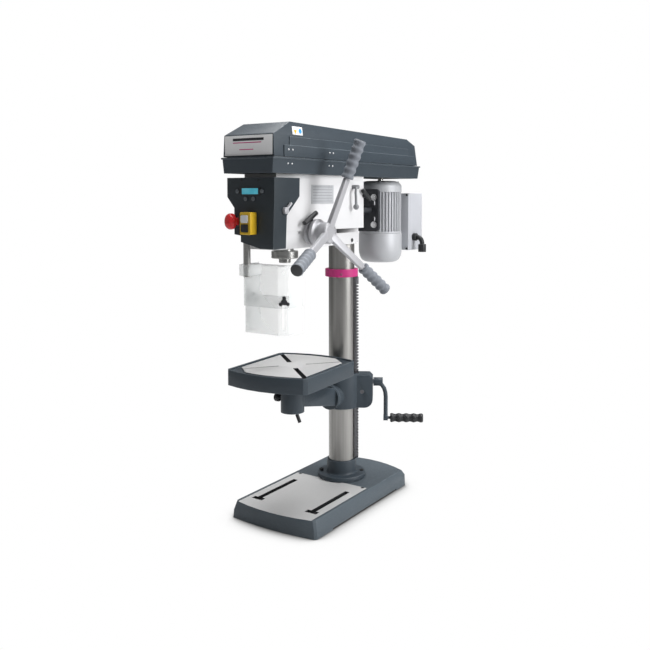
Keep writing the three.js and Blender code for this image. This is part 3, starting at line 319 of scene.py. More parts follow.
def metal(name, colour, rough, lines, line_scale=1.0, relief=0.00002, vary=0.12, cloud=0.35, shine=1.0):
    material, tree, shader, where = base_material(name)
    grain = use_group(tree, grain_group, Vector=where, Scale=220, Patch_scale=11)
    streaks = noise(tree, stretched(tree, where, lines), line_scale, 4.0, 0.7)
    dark = tuple(c * (1 - vary) for c in colour)
    light = tuple(min(c * (1 + vary), 1) for c in colour)
    lined = mix_colour(tree, spread(tree, streaks, 0.0, 1.0), dark, light)
    toned = mix_colour(tree, spread(tree, grain["Tone"], 0.0, cloud), lined, dark)
    tree.links.new(toned, shader.inputs["Base Color"])
    tree.links.new(spread(tree, streaks, rough - 0.05, rough + 0.09), shader.inputs["Roughness"])
    tree.links.new(bump(tree, streaks, relief), shader.inputs["Normal"])
    shader.inputs["Metallic"].default_value = shine
    return material


column_steel = metal("column_steel", (0.30, 0.295, 0.285), 0.30, (30, 30, 0.4), 1.0, 0.000004, 0.42, 0.05)
turned_steel = metal("turned_steel", (0.42, 0.42, 0.41), 0.28, (80, 80, 1600), 1.0, 0.00002)
milled_face = metal("milled_face", (0.60, 0.60, 0.60), 0.42, (900, 40, 40), 1.0, 0.00002, 0.10, 0.2, 0.35)
dark_steel = metal("dark_steel", (0.14, 0.14, 0.15), 0.38, (300, 300, 300), 1.0, 0.00003)
zinc = metal("zinc_screw", (0.62, 0.62, 0.63), 0.3, (700, 700, 700), 1.0, 0.00002)
print("metal finishes ready")

# %% [markdown]
# The chuck guard is clear sheet: mostly transparent, with a brighter rim where the light leaves
# the cut edge. The display is a lit window.
# %% Clear sheet and display
def clear_sheet():
    material, tree, shader, where = base_material("clear_sheet")
    grain = use_group(tree, grain_group, Vector=where, Scale=60, Patch_scale=9)
    tint = mix_colour(tree, spread(tree, grain["Tone"], 0, 1), (0.80, 0.83, 0.83), (0.90, 0.92, 0.92))
    tree.links.new(tint, shader.inputs["Base Color"])
    tree.links.new(spread(tree, grain["Fine"], 0.06, 0.16), shader.inputs["Roughness"])
    facing = tree.nodes.new("ShaderNodeLayerWeight")
    facing.inputs["Blend"].default_value = 0.35
    tree.links.new(math_node(tree, "MULTIPLY_ADD", facing.outputs["Facing"], 0.55), shader.inputs["Alpha"])
    tree.nodes[-1].inputs[2].default_value = 0.20
    return material


def display_glass():
    material, tree, shader, where = base_material("display_window")
    grain = use_group(tree, grain_group, Vector=where, Scale=500, Patch_scale=60)
    lit = mix_colour(tree, spread(tree, grain["Tone"], 0, 1), (0.045, 0.30, 0.40), (0.075, 0.38, 0.48))
    tree.links.new(lit, shader.inputs["Base Color"])
    tree.links.new(lit, shader.inputs["Emission Color"])
    shader.inputs["Emission Strength"].default_value = 0.45
    tree.links.new(spread(tree, grain["Fine"], 0.12, 0.2), shader.inputs["Roughness"])
    return material


clear = clear_sheet()
display_blue = display_glass()
print("clear and lit finishes ready")

# %% [markdown]
# ## Making pieces
# A piece starts as a bmesh. Castings and housings start from a merged copy of the mechanical
# model's mesh, whose flat triangles are dissolved into whole faces; then a bevel rounds every
# corner the way a casting or a moulding has them.
# %% Piece helpers
def piece(bm, name, materials, body, replaced=(), sharp=38):
    bmesh.ops.remove_doubles(bm, verts=bm.verts, dist=1e-7)
    mesh = bpy.data.meshes.new(name)
    bm.to_mesh(mesh)
    bm.free()
    for material in materials:
        mesh.materials.append(material)
    mesh.shade_smooth()
    mesh.set_sharp_from_angle(angle=math.radians(sharp))
    made = bpy.data.objects.new(name, mesh)
    bpy.context.scene.collection.objects.link(made)
    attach(made, body)
    if replaced:
        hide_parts(*replaced)
    return made


def bend(edge):
    return edge.calc_face_angle(0.0)


def round_edges(bm, width, segments=2, chosen=None, at_least=28, profile=0.5):
    edges = [e for e in bm.edges if len(e.link_faces) == 2 and bend(e) > math.radians(at_least)]
    if chosen:
        edges = [e for e in edges if chosen((e.verts[0].co + e.verts[1].co) / 2 / MM)]
    bmesh.ops.bevel(bm, geom=edges, offset=width * MM, offset_type="OFFSET", affect="EDGES",
                    segments=segments, profile=profile, material=-1, clamp_overlap=True)
    return len(edges)


def copy_of(node):
    bm = bmesh.new()
    bm.from_mesh(nodes[node].data)
    bmesh.ops.remove_doubles(bm, verts=bm.verts, dist=2e-6)
    bmesh.ops.dissolve_limit(bm, angle_limit=math.radians(0.6), verts=bm.verts, edges=bm.edges,
                             delimit=set())
    for face in bm.faces:
        face.material_index = 0
    return bm


def refined(node, materials, width=0.8, segments=2, chosen=None, at_least=28, paint=None):
    bm = copy_of(node)
    rounded = round_edges(bm, width, segments, chosen, at_least)
    if paint:
        bm.normal_update()
        for face in bm.faces:
            face.material_index = paint(face.calc_center_median() / MM, face.normal)
    made = piece(bm, node + "_piece", materials, body_of[node], [node])
    print(made.name, rounded, "edges rounded,", len(made.data.polygons), "faces")
    return made


# %% [markdown]
# Turned pieces are spun: a half profile of a few points is swept once round an axis, and the
# first and last points on the axis close the ends.
# %% Turning helper
AXES = {
    "z": Matrix.Identity(4),
    "x": Matrix.Rotation(math.radians(90), 4, "Y"),
    "-x": Matrix.Rotation(math.radians(-90), 4, "Y"),
    "y": Matrix.Rotation(math.radians(-90), 4, "X"),
    "-y": Matrix.Rotation(math.radians(90), 4, "X"),
}


def spun(bm, profile, place=Matrix.Identity(4), steps=48):
    points = [Vector((r * MM, 0, z * MM)) for r, z in profile]
    verts = [bm.verts.new(p) for p in points]
    edges = [bm.edges.new(pair) for pair in zip(verts, verts[1:])]
    if (points[0] - points[-1]).length > 1e-9 and points[0].x > 1e-9:
        edges.append(bm.edges.new((verts[-1], verts[0])))
    before = set(bm.faces)
    bmesh.ops.spin(bm, geom=verts + edges, cent=(0, 0, 0), axis=(0, 0, 1), angle=math.tau,
                   steps=steps, use_merge=True)
    faces = [f for f in bm.faces if f not in before]
    made = list({v for f in faces for v in f.verts})
    bmesh.ops.remove_doubles(bm, verts=made, dist=1e-7)
    faces = [f for f in bm.faces if f not in before]
    bmesh.ops.recalc_face_normals(bm, faces=faces)
    made = list({v for f in faces for v in f.verts})
    bmesh.ops.transform(bm, matrix=place, verts=made)
    return faces


def at(x, y, z, axis="z"):
    place = Matrix.Translation(Vector((x, y, z)) * MM)
    return place @ AXES[axis]


def turned_piece(name, profile, place, materials, body, replaced=(), steps=56, sharp=38, paint=None):
    bm = bmesh.new()
    spun(bm, profile, place, steps)
    if paint:
        bm.normal_update()
        back = place.inverted()
        for face in bm.faces:
            centre = back @ face.calc_center_median() / MM
            face.material_index = paint(math.hypot(centre.x, centre.y), centre.z)
    made = piece(bm, name, materials, body, replaced, sharp)
    print(name, "turned,", len(made.data.polygons), "faces")
    return made


# %% [markdown]
# Bolts, screws and rivets come in a few shapes only: a hexagon head with a chamfer, a socket
# head with a round pocket, and a domed rivet. Each helper adds one to the bmesh it is given.
# %% Hardware helpers
def hexagon_head(bm, place, across, height):
    made = bmesh.ops.create_cone(bm, cap_ends=True, segments=6, radius1=across / 1.732 * MM,
                                 radius2=across / 1.732 * MM, depth=height * MM)["verts"]
    bmesh.ops.translate(bm, verts=made, vec=(0, 0, height / 2 * MM))
    rim = [e for e in {e for v in made for e in v.link_edges}
           if all(abs(v.co.z - height * MM) < 1e-6 for v in e.verts)]
    grown = bmesh.ops.bevel(bm, geom=rim, offset=height * 0.12 * MM, offset_type="OFFSET", affect="EDGES",
                            segments=2, profile=0.5, material=-1)["verts"]
    made = [v for v in set(made) | set(grown) if v.is_valid]
    bmesh.ops.transform(bm, matrix=place, verts=made)


def socket_head(bm, place, r, height, socket):
    spun(bm, [(0, 0), (r, 0), (r, height - r * 0.15), (r * 0.85, height), (socket * 1.1, height),
              (socket, height - 0.3), (socket, height * 0.45), (0, height * 0.4)], place, 24)


def rivet(bm, place, r):
    spun(bm, [(0, -0.5), (r, -0.5), (r, 0.15 * r), (r * 0.8, 0.5 * r), (r * 0.4, 0.7 * r),
              (0, 0.75 * r)], place, 16)


def block(bm, low, high, soft=0.0, segments=2):
    made = bmesh.ops.create_cube(bm, size=1.0)["verts"]
    size = Vector(high) - Vector(low)
    bmesh.ops.scale(bm, vec=size * MM, verts=made)
    bmesh.ops.translate(bm, vec=(Vector(low) + Vector(high)) / 2 * MM, verts=made)
    if soft:
        edges = list({e for v in made for e in v.link_edges})
        bmesh.ops.bevel(bm, geom=edges, offset=soft * MM, offset_type="OFFSET", affect="EDGES",
                        segments=segments, profile=0.5, material=-1)


def hardware(name, material, body):
    bm = bmesh.new()

    def done(sharp=38):
        made = piece(bm, name, [material], body, (), sharp)
        print(name, len(made.data.polygons), "faces")
        return made
    return bm, done


# %% [markdown]
# ## The stand
# The base is a heavy casting. Its front half is milled bright and carries the two T-slots; the
# rear half and both edges stay painted. Cuts across the top face give the lines where the milling ends.
# %% Base
MILLED_EDGE = -58


MILLED_SIDE = 128


def is_milled(centre, normal):
    return centre.z > 47.8 and normal.z > 0.9 and centre.y < MILLED_EDGE and abs(centre.x) < MILLED_SIDE


# Side walls of the T-slots take slot_shade, painted shade for the dark inside of the slots.
def is_slot_wall(centre, normal):
    beside_slot = abs(abs(centre.x) - 95) < 20 and -310 < centre.y < -110
    return beside_slot and 30 < centre.z < 47.9 and abs(normal.z) < 0.9


def make_base():
    bm = copy_of("base")
    round_edges(bm, 3.2, 3, lambda p: abs(p.x) > 130 or p.y < -335 or p.y > 120, 20)
    for cut, across in (((0, MILLED_EDGE, 0), (0, 1, 0)), ((MILLED_SIDE, 0, 0), (1, 0, 0)),
                        ((-MILLED_SIDE, 0, 0), (1, 0, 0))):
        top = [f for f in bm.faces if f.calc_center_median().z > 0.0478 and f.normal.z > 0.9]
        geometry = list({g for f in top for g in (*f.verts, *f.edges)}) + top
        bmesh.ops.bisect_plane(bm, geom=geometry, plane_co=Vector(cut) * MM, plane_no=across)
        bm.normal_update()
    for face in bm.faces:
        centre = face.calc_center_median() / MM
        if is_milled(centre, face.normal):
            face.material_index = 1
        elif is_slot_wall(centre, face.normal):
            face.material_index = 2
    made = piece(bm, "base_casting", [casting_grey, milled_face, slot_shade], "stand",
                 ["base"])
    print("base_casting", len(made.data.polygons), "faces")


make_base()

# %% [markdown]
# The slots look black because they are deep and dark inside. Plain dark sheets below the slot
# mouths paint that shade, and small screws sit in the base's holes.
# %% Base hardware
bm, done = hardware("base_screws", dark_steel, "stand")
for side in (-1, 1):
    socket_head(bm, at(side * 115, -62, 45.6), 4.6, 2.6, 2)
done()
bm, done = hardware("slot_shade_sheets", slot_shade, "stand")
for side in (-1, 1):
    block(bm, (side * 95 - 18.4, -304.5, 36), (side * 95 + 18.4, -290.5, 38), 0.3)
    block(bm, (side * 95 - 7.6, -291, 36), (side * 95 + 7.6, -114.6, 38), 0.3)
done()

# %% [markdown]
# The flange is a turned casting with a straight neck. Its bolts are socket heads; the one nearest
# the operator's left is black, the opposite one sits down in its counterbore.
# %% Column, flange and collar
turned_piece("flange_casting", [(40.35, 48.4), (73.5, 48.4), (75, 50), (75, 60), (73.6, 61.8), (71, 62.2),
             (49.4, 62.4), (47.4, 64), (46.6, 67), (46, 72), (45.8, 101), (44.9, 103.4), (43.8, 104),
             (40.35, 104)], at(0, 0, 0), [anthracite], "stand", ["column_flange"], 72)
bm, done = hardware("flange_bolts", black_plastic, "stand")
for angle in (-147, 33, 123):
    a = math.radians(angle)
    socket_head(bm, at(63 * math.cos(a), 63 * math.sin(a), 62), 6.2, 7.5 if angle < 0 else 3.5, 3)
done()
turned_piece("column_tube", [(34, 48.4), (39.4, 48.4), (40, 49), (40, 969), (39, 970), (34, 970)],
             at(0, 0, 0), [column_steel], "stand", ["column"], 96)
turned_piece("rack_ring", [(40.35, 677), (50, 677), (51, 678), (51, 700), (50, 701), (40.35, 701)],
             at(0, 0, 0), [magenta], "stand", ["rack_collar"], 72)
bm, done = hardware("ring_screw", dark_steel, "stand")
socket_head(bm, Matrix.Translation(Vector((26.7, -42.7, 686)) * MM)
            @ Matrix.Rotation(math.radians(-58), 4, "Z") @ AXES["x"], 3.4, 1.2, 1.7)
done()
refined("rack", [dark_steel], 0.25, 1)

# %% [markdown]
# ## Table and its bracket
# Bracket, arm and table are sand castings: every corner is generously rounded. The table's
# working face is milled bright and stands inside a painted gutter.
# %% Castings under the table
refined("table_bracket", [anthracite], 2.2, 3, at_least=40)
refined("table_arm", [anthracite], 2.5, 3, at_least=40)


TABLE_HUB = Vector((0, -258, 0))
TABLE_TURN = math.radians(4.5)
DIAGONAL = math.atan2(138, 130)


def along_and_across(centre, angle):
    flat = centre - TABLE_HUB
    along = flat.x * math.cos(angle) + flat.y * math.sin(angle)
    return abs(along), abs(flat.y * math.cos(angle) - flat.x * math.sin(angle))


# Wide slot walls and the insides of the thin slots take slot_shade, painted shade for their dark inside.
def table_paint(centre, normal):
    for angle, width in ((TABLE_TURN - DIAGONAL, 7.8), (TABLE_TURN + DIAGONAL, 3.0)):
        along, across = along_and_across(centre, angle)
        if across < width and 38 < along < 173 and abs(normal.z) < 0.7 and centre.z > 424:
            return 2
        if width < 5 and across < width and 38 < along < 147 and centre.z < 441:
            return 2
    return 1 if normal.z > 0.9 and 441.8 < centre.z < 442.6 else 0


refined("table", [anthracite, milled_face, slot_shade], 0.9, 2, paint=table_paint)
refined("table_lock_knob", [black_plastic], 1.2, 2)
refined("table_tilt_pin", [black_plastic], 1.2, 2)
refined("tilt_bolt", [dark_steel], 0.6, 2)
refined("bracket_clamp_lever", [black_plastic], 0.8, 2)

# %% [markdown]
# The crank's grip has moulded finger waves. They are spun from a profile whose radius follows a
# few cosine waves, which is smoother than turning each waist by hand.
# %% Waved grips
def waved_profile(length, r, waves, depth, bore, first=0.0):
    profile = [(bore, 0), (r - 3.2, 0), (r - 1.2, 0.8), (r - 0.4, 2.6)]
    count = waves * 10
    for step in range(count + 1):
        along = 4 + (length - 10) * step / count
        profile.append((r - depth * 0.5 * (1 - math.cos(math.tau * waves * step / count)), along))
    profile += [(r - 0.5, length - 3.2), (r - 1.6, length - 1.0), (r - 3.4, length), (0, length),
                (0, length * 0.5), (bore, length * 0.5)]
    return profile


def direction_place(start, direction):
    turn = Vector((0, 0, 1)).rotation_difference(Vector(direction)).to_matrix().to_4x4()
    return Matrix.Translation(Vector(start) * MM) @ turn


RADIAL = Vector((math.cos(math.radians(30)), math.sin(math.radians(30)), 0))
TANGENT = Vector((-math.sin(math.radians(30)), math.cos(math.radians(30)), 0))
crank_axis = RADIAL * 152 + TANGENT * -16 + Vector((0, 0, 237))
turned_piece("crank_handle", waved_profile(102, 14, 4, 2.6, 5), direction_place(crank_axis, RADIAL),
             [black_plastic], "crank_grip", ["crank_grip"], 40)
refined("crank_arm", [anthracite], 0.9, 2, at_least=40)

# %% [markdown]
# ## Head casting
# The head is one white casting with a step in its side. Only its long outer corners are
# rounded strongly; bores and ribs keep small radii.
# %% Head
refined("head_casting", [white_enamel], 1.6, 3, at_least=40)
turned_piece("quill_ring", [(25.35, 751), (35.6, 751), (37.5, 752.6), (37.5, 757), (36.8, 757.6),
             (36.8, 758.6), (37.5, 759.2), (37.5, 770.2), (35.8, 772), (25.35, 772)], at(0, -292, 0), [turned_steel],
             "quill", ["quill_collar"], 64)
turned_piece("spindle_nose", [(0, 766), (7.5, 766), (8.9, 738), (15, 738), (16.5, 739.6), (16.5, 743),
             (15.6, 743.8), (16.5, 744.6), (16.5, 755), (12, 755), (12, 918), (9, 920), (9, 1062), (0, 1062)],
             at(0, -292, 0), [turned_steel], "spindle", ["spindle"], 48)
bm, done = hardware("head_plugs", black_plastic, "stand")
spun(bm, [(0, 0), (6, 0), (6, 1.2), (4.6, 2.2), (0, 2.4)], at(63.2, -40, 792, "x"), 24)
done()
print("head pieces ready")

# %% [markdown]
# ## Feed
# Three flat arms leave a turned hub and end in ribbed grips. The hub is spun, each arm is a
# block whose far end is scaled down and whose edges are then rounded.
# %% Feed hub and arms
FEED = Vector((122.6, -259, 823))
ARM_LEAN = math.atan2(196 - 166, 258.7 - 153)
ARM_LENGTH = math.hypot(153, 166 - 122.6)
GRIP_LENGTH = math.hypot(258.7 - 153, 196 - 166)


def arm_place(index):
    angle = math.radians(78.4 - 90 + 120 * index)
    return (Matrix.Translation(FEED * MM) @ Matrix.Rotation(angle, 4, "X")
            @ Matrix.Rotation(ARM_LEAN, 4, "Y"))


def add_arm(bm, place):
    made = bmesh.ops.create_cube(bm, size=1.0)["verts"]
    bmesh.ops.scale(bm, vec=Vector((13.5, 24, ARM_LENGTH - 16)) * MM, verts=made)
    bmesh.ops.translate(bm, vec=Vector((0, 0, (ARM_LENGTH + 14) / 2)) * MM, verts=made)
    far = [v for v in made if v.co.z > ARM_LENGTH * 0.5 * MM]
    bmesh.ops.scale(bm, vec=(0.86, 0.84, 1), verts=far)
    edges = list({e for v in made for e in v.link_edges})
    grown = bmesh.ops.bevel(bm, geom=edges, offset=2.6 * MM, offset_type="OFFSET", affect="EDGES",
                            segments=3, profile=0.5, material=-1)["verts"]
    made = [v for v in set(made) | set(grown) if v.is_valid]
    bmesh.ops.transform(bm, matrix=place, verts=made)


def make_feed_hub():
    bm = bmesh.new()
    hub = at(0, -259, 823, "x")
    spun(bm, [(9.35, 84), (35.5, 84), (38, 85.8), (38, 94), (36.5, 95.2), (31, 96.5), (27.5, 99),
              (26, 104), (27, 107), (29, 108.5), (30, 110.5), (30, 130), (28.6, 133.2), (25.5, 135), (22.4, 135), (21.6, 133.6),
              (9, 133.2), (0, 133), (0, 112.4), (9.35, 112.4)], hub, 64)
    for index in range(3):
        add_arm(bm, arm_place(index))
        spun(bm, [(0, ARM_LENGTH - 8), (7, ARM_LENGTH - 8), (7, ARM_LENGTH + 44), (0, ARM_LENGTH + 44)],
             arm_place(index), 20)
    made = piece(bm, "feed_star", [silver_paint], "feed", ["feed_hub"])
    print("feed_star", len(made.data.polygons), "faces")


make_feed_hub()
for index in range(3):
    place = arm_place(index) @ Matrix.Translation((0, 0, ARM_LENGTH * MM))
    turned_piece(f"feed_handle_{index + 1}", waved_profile(GRIP_LENGTH, 17.3, 5, 2.8, 7.4), place,
                 [grip_grey, grip_end], f"feed_grip_{index + 1}", [f"feed_grip_{index + 1}"], 40,
                 paint=lambda r, z: 1 if z > GRIP_LENGTH - 1.2 and r < 15 else 0)

# %% [markdown]
# Behind the hub sits the depth stop: a graduated ring on the head's boss, with a black
# clamping screw. The graduations are short raised strokes of equal pitch.
# %% Depth stop
turned_piece("depth_scale", [(9.4, 65), (33, 65), (34, 66), (34, 73.6), (33, 75), (26.6, 75), (26, 76),
             (26, 81), (25, 82), (9.4, 82)], at(0, -259, 823, "x"), [silver_paint], "depth_ring",
             ["depth_ring"], 64)
bm, done = hardware("depth_graduations", dark_steel, "depth_ring")
for stroke in range(48):
    angle = math.tau * stroke / 48
    length = 6 if stroke % 4 == 0 else 3.5
    stroke_bm = Matrix.Rotation(angle, 4, "X")
    made = bmesh.ops.create_cube(bm, size=1.0)["verts"]
    bmesh.ops.scale(bm, vec=Vector((length, 0.6, 0.5)) * MM, verts=made)
    bmesh.ops.translate(bm, vec=Vector((73.2 - length / 2, 0, 33.9)) * MM, verts=made)
    bmesh.ops.transform(bm, matrix=Matrix.Translation(Vector((0, -259, 823)) * MM) @ stroke_bm, verts=made)
done()
refined("depth_clamp", [black_plastic], 0.8, 2)
bm, done = hardware("feed_lock_screw", zinc, "stand")
socket_head(bm, at(57.2, -304, 824, "x"), 4.2, 3.2, 1.8)
done()
refined("spring_cap", [anthracite], 1.5, 3)

# %% [markdown]
# ## Belt drive cover
# Tray and cover are pressed sheet. The press leaves small even radii, so one bevel width does
# for all edges. Raised ledges along the cover's side come from the mechanical model.
# %% Tray and cover
refined("belt_tray", [anthracite], 1.4, 3)
refined("belt_cover", [anthracite], 1.8, 3, at_least=20)


bm, done = hardware("cover_rivets", zinc, "cover")
for middle in (-382, -189):
    for offset in (-9, 9):
        rivet(bm, at(88.7, middle + offset, 1046, "x"), 2.6)
done()
bm, done = hardware("tray_rivets", zinc, "stand")
for middle in (-382, -189):
    for offset in (-9, 9):
        rivet(bm, at(86.2, middle + offset, 1010, "x"), 2.6)
done()

# %% [markdown]
# The front of the cover carries a plain cream panel with a thin coloured line, and the side a
# small sticker. Both are left without words or marks.
# %% Panel and sticker
def panel_on_front(name, x0, x1, z0, z1, proud, material, lean=True):
    bm = bmesh.new()
    block(bm, (x0, -0.9, z0), (x1, 0, z1), 0.35)
    top = 1088 - 3
    slope = (1.0) / (top - 1027.6)
    for v in bm.verts:
        v.co.y += (-449 - proud + (v.co.z / MM - 1027.6) * slope) * MM
    piece(bm, name, [material], "cover")


panel_on_front("front_panel", -80, 80, 1031, 1083, 0.0, cream)
panel_on_front("front_panel_line", -52, 44, 1063, 1065.5, 0.25, magenta)
panel_on_front("front_panel_bar", -52, 52, 1069, 1076, 0.25, black_paint)
panel_on_front("front_panel_mark", -30, 18, 1045, 1047.5, 0.25, magenta)
print("front panel ready")


def surface_finder(node):
    bm = copy_of(node)
    tree = BVHTree.FromBMesh(bm)
    bm.free()

    def right_side(y, z):
        hit = tree.ray_cast(Vector((400, y, z)) * MM, Vector((-1, 0, 0)))[0]
        return hit.x / MM
    return right_side


cover_side = surface_finder("belt_cover")


def lay_on_side(bm, proud):
    for v in bm.verts:
        v.co.x += (cover_side(v.co.y / MM, v.co.z / MM) + proud) * MM


bm = bmesh.new()
block(bm, (-0.5, -366, 1087), (0.5, -320, 1109), 0.15)
lay_on_side(bm, 0.3)
piece(bm, "side_sticker", [cream], "cover")
bm = bmesh.new()
spun(bm, [(0, -0.5), (6.4, -0.5), (6.4, 0.5), (0, 0.5)], at(0, -331, 1098, "x"), 24)
lay_on_side(bm, 0.7)
piece(bm, "sticker_disc", [sticker_blue], "cover")
bm = bmesh.new()
spun(bm, [(0, -0.5), (7.6, -0.5), (7.6, 0.5), (0, 0.5)], at(0, -353, 1096, "x"), 3)
lay_on_side(bm, 0.7)
piece(bm, "sticker_triangle", [yellow], "cover")
print("sticker laid on the cover")

# %% [markdown]
# Pulleys and belt stay under the cover, but they show when it is open. The mechanical shapes
# are already right, so they only take a finish.
# %% Drive finishes
def finish_node(node, material):
    data = nodes[node].data
    data.materials.clear()
    data.materials.append(material)


for node, material in {
    "spindle_pulley": motor_paint, "motor_pulley": motor_paint, "drive_belt": belt_rubber,
    "motor_shaft": turned_steel, "quill": turned_steel, "spindle_bearing": turned_steel,
    "pulley_bearing": turned_steel, "lift_pinion": dark_steel, "crank_shaft": dark_steel,
    "feed_shaft": dark_steel,
}.items():
    finish_node(node, material)
print("drive finished")

# %% [markdown]
# ## Control hood
# The hood is a moulded front. Its display, keys, start and stop switch and the red mushroom
# button are separate pieces, so each can move.
# %% Hood
refined("control_hood", [hood_grey], 3.0, 4, at_least=24)
refined("display_window", [display_blue], 0.4, 2)
for index in range(4):
    refined(f"panel_button_{index + 1}", [button_grey], 0.4, 2)


def make_display_frame():
    bm = bmesh.new()
    block(bm, (-36, -442.6, 926), (35, -441.1, 948), 0.6)
    piece(bm, "display_frame", [black_plastic], "stand")


make_display_frame()
bm, done = hardware("hood_screws", black_plastic, "stand")
for x in (-30, 27):
    socket_head(bm, at(x, -440.6, 966, "-y"), 3.2, 1.2, 1.8)
done()
refined("switch_plate", [yellow], 0.9, 3)
refined("start_button", [pale_plastic], 0.8, 3)
refined("stop_button", [black_plastic], 0.8, 3)
turned_piece("stop_mushroom", [(0, -1.5), (10, -1.5), (10, 11), (14.5, 12.6), (19.2, 14.8), (20.7, 17),
             (21.5, 20.5), (21.5, 26.5), (20.4, 30), (17.6, 33.9), (14, 36.4), (9.5, 38), (5, 38.8), (0, 39)],
             direction_place((-39, -441, 857), (-0.5, -0.8660254, 0)), [red],
             "emergency_stop", ["emergency_stop"], 56)
refined("hood_lever", [silver_paint, black_plastic], 0.8, 2, paint=lambda c, n: 1 if c.y > -386 else 0)

# %% [markdown]
# ## Chuck guard
# Two clear sheets slide in each other. Their edges are only broken, not rounded, because cut
# sheet stays crisp. A bright rod carries them, and two black knobs clamp them.
# %% Guard
refined("guard_upper", [clear], 0.4, 1)
refined("guard_lower", [clear], 0.4, 1)
turned_piece("guard_post", [(0, 707), (8.7, 707), (9.5, 708), (9.5, 833), (0, 833)], at(-28, -423, 0),
             [turned_steel], "stand", ["guard_rod"], 36)
refined("guard_knob_front", [black_plastic], 0.7, 2)
refined("guard_knob_side", [black_plastic], 0.7, 2)

# %% [markdown]
# ## Motor
# The motor's barrel has thin cooling fins all round. A flat ring of points, alternately on the
# fin tips and on the root, is extruded once along the axis.
# %% Motor barrel
MOTOR_Y = 238


def add_fins(bm, fins, root, tip, low, high):
    ring = []
    for fin in range(fins):
        for r, share in ((root, 0.0), (tip, 0.16), (tip, 0.40), (root, 0.56)):
            a = math.tau * (fin + share) / fins
            ring.append(bm.verts.new(Vector((r * math.cos(a), MOTOR_Y + r * math.sin(a), low)) * MM))
    face = bm.faces.new(ring)
    lifted = bmesh.ops.extrude_face_region(bm, geom=[face])["geom"]
    upper = [g for g in lifted if isinstance(g, bmesh.types.BMVert)]
    bmesh.ops.translate(bm, vec=(0, 0, (high - low) * MM), verts=upper)
    bmesh.ops.recalc_face_normals(bm, faces=bm.faces)


def make_motor():
    bm = bmesh.new()
    add_fins(bm, 40, 64.8, 69.5, 808, 940)
    centre = at(0, MOTOR_Y, 0)
    spun(bm, [(0, 802.4), (70.1, 802.4), (70.5, 803), (70.5, 808.6), (69.5, 809), (0, 809)], centre, 72)
    spun(bm, [(0, 938.4), (70.5, 938.4), (71, 939.2), (71, 958), (70, 961), (64.2, 968.6), (56.5, 973),
              (47.5, 975.6), (40, 976), (0, 976)], centre, 72)
    for side in (-1, 1):
        block(bm, (side * 24 - 9, 76.4, 826), (side * 24 + 9, 188, 936), 2.0)
    made = piece(bm, "motor_barrel", [motor_paint], "motor", ["motor_body"], 30)
    print("motor_barrel", len(made.data.polygons), "faces")


make_motor()
bm, done = hardware("motor_bolts", zinc, "motor")
for turn in range(4):
    a = math.radians(45 + 90 * turn)
    hexagon_head(bm, at(60 * math.cos(a), MOTOR_Y + 60 * math.sin(a), 969), 7, 5)
done()
turned_piece("fan_cowl", [(0, 706), (44, 706.6), (53, 708.6), (60.3, 713), (65, 719), (68.6, 727),
             (70.9, 737), (71.8, 747), (71.8, 801), (71.1, 802), (68.6, 802), (68.6, 748), (65, 728),
             (55, 715), (0, 711)],
             at(0, MOTOR_Y, 0), [motor_paint], "motor", ["motor_cowl"], 72)

# %% [markdown]
# The motor hangs on a slotted black plate. Bright nuts clamp it at the slot ends, and two round
# bars carry it into the head, so that the belt can be slackened.
# %% Motor plate and levers
refined("motor_carrier", [black_paint], 1.2, 2, at_least=40)
bm, done = hardware("plate_nuts", zinc, "motor")
for side in (-1, 1):
    for z in (836, 921):
        spun(bm, [(0, 0), (10, 0), (10, 1.8), (0, 1.8)], at(side * 77, 66.1, z, "-y"), 28)
        hexagon_head(bm, at(side * 77, 64.3, z, "-y"), 13, 7)
done()
refined("tension_lever", [lever_grey], 0.8, 2, at_least=40)
refined("carrier_lock_lever", [black_plastic], 0.8, 2, at_least=40)
refined("control_box", [box_paint], 1.5, 3)
refined("control_box_base", [box_paint], 1.0, 2)
refined("box_gland", [black_plastic], 0.8, 2, at_least=40)
bm, done = hardware("box_screws", black_plastic, "motor")
for z in (748, 929):
    for x in (-61, 61):
        socket_head(bm, at(x, 311.3, z, "-y"), 3.8, 1.8, 2)
done()

# %% [markdown]
# The right side of the head carries a grey data plate: rows of plain lines, no words.
# %% Data plate
def head_side(y):
    return 54 + 24.5 * (y + 400) / 412


def add_side_panel(name, y0, y1, z0, z1, proud, thick, material):
    bm = bmesh.new()
    block(bm, (0, y0, z0), (thick, y1, z1), 0.2)
    for v in bm.verts:
        v.co.x += (head_side(v.co.y / MM) + proud) * MM
    return piece(bm, name, [material], "stand")


add_side_panel("data_plate", -252, -150, 903, 956, 0.1, 0.9, plate_grey)
for row in range(6):
    z = 910 + row * 8
    add_side_panel(f"data_line_{row + 1}", -246, -156, z, z + 1.2, 0.75, 0.5, lever_grey)
print("data plate ready")

# %% [markdown]
# ## Floor and light
# A pale floor takes a soft dark contact shadow from ambient occlusion, and the camera sees it as
# plain white elsewhere. One large soft light from the operator's right, a softer one above and a
# weak fill from the left give bright tops, mid sides and dark fronts.
# %% Floor
CONTACT = 0.10
floor_bm = bmesh.new()
bmesh.ops.create_grid(floor_bm, x_segments=1, y_segments=1, size=40)
floor_mesh = bpy.data.meshes.new("floor")
floor_bm.to_mesh(floor_mesh)
floor_bm.free()


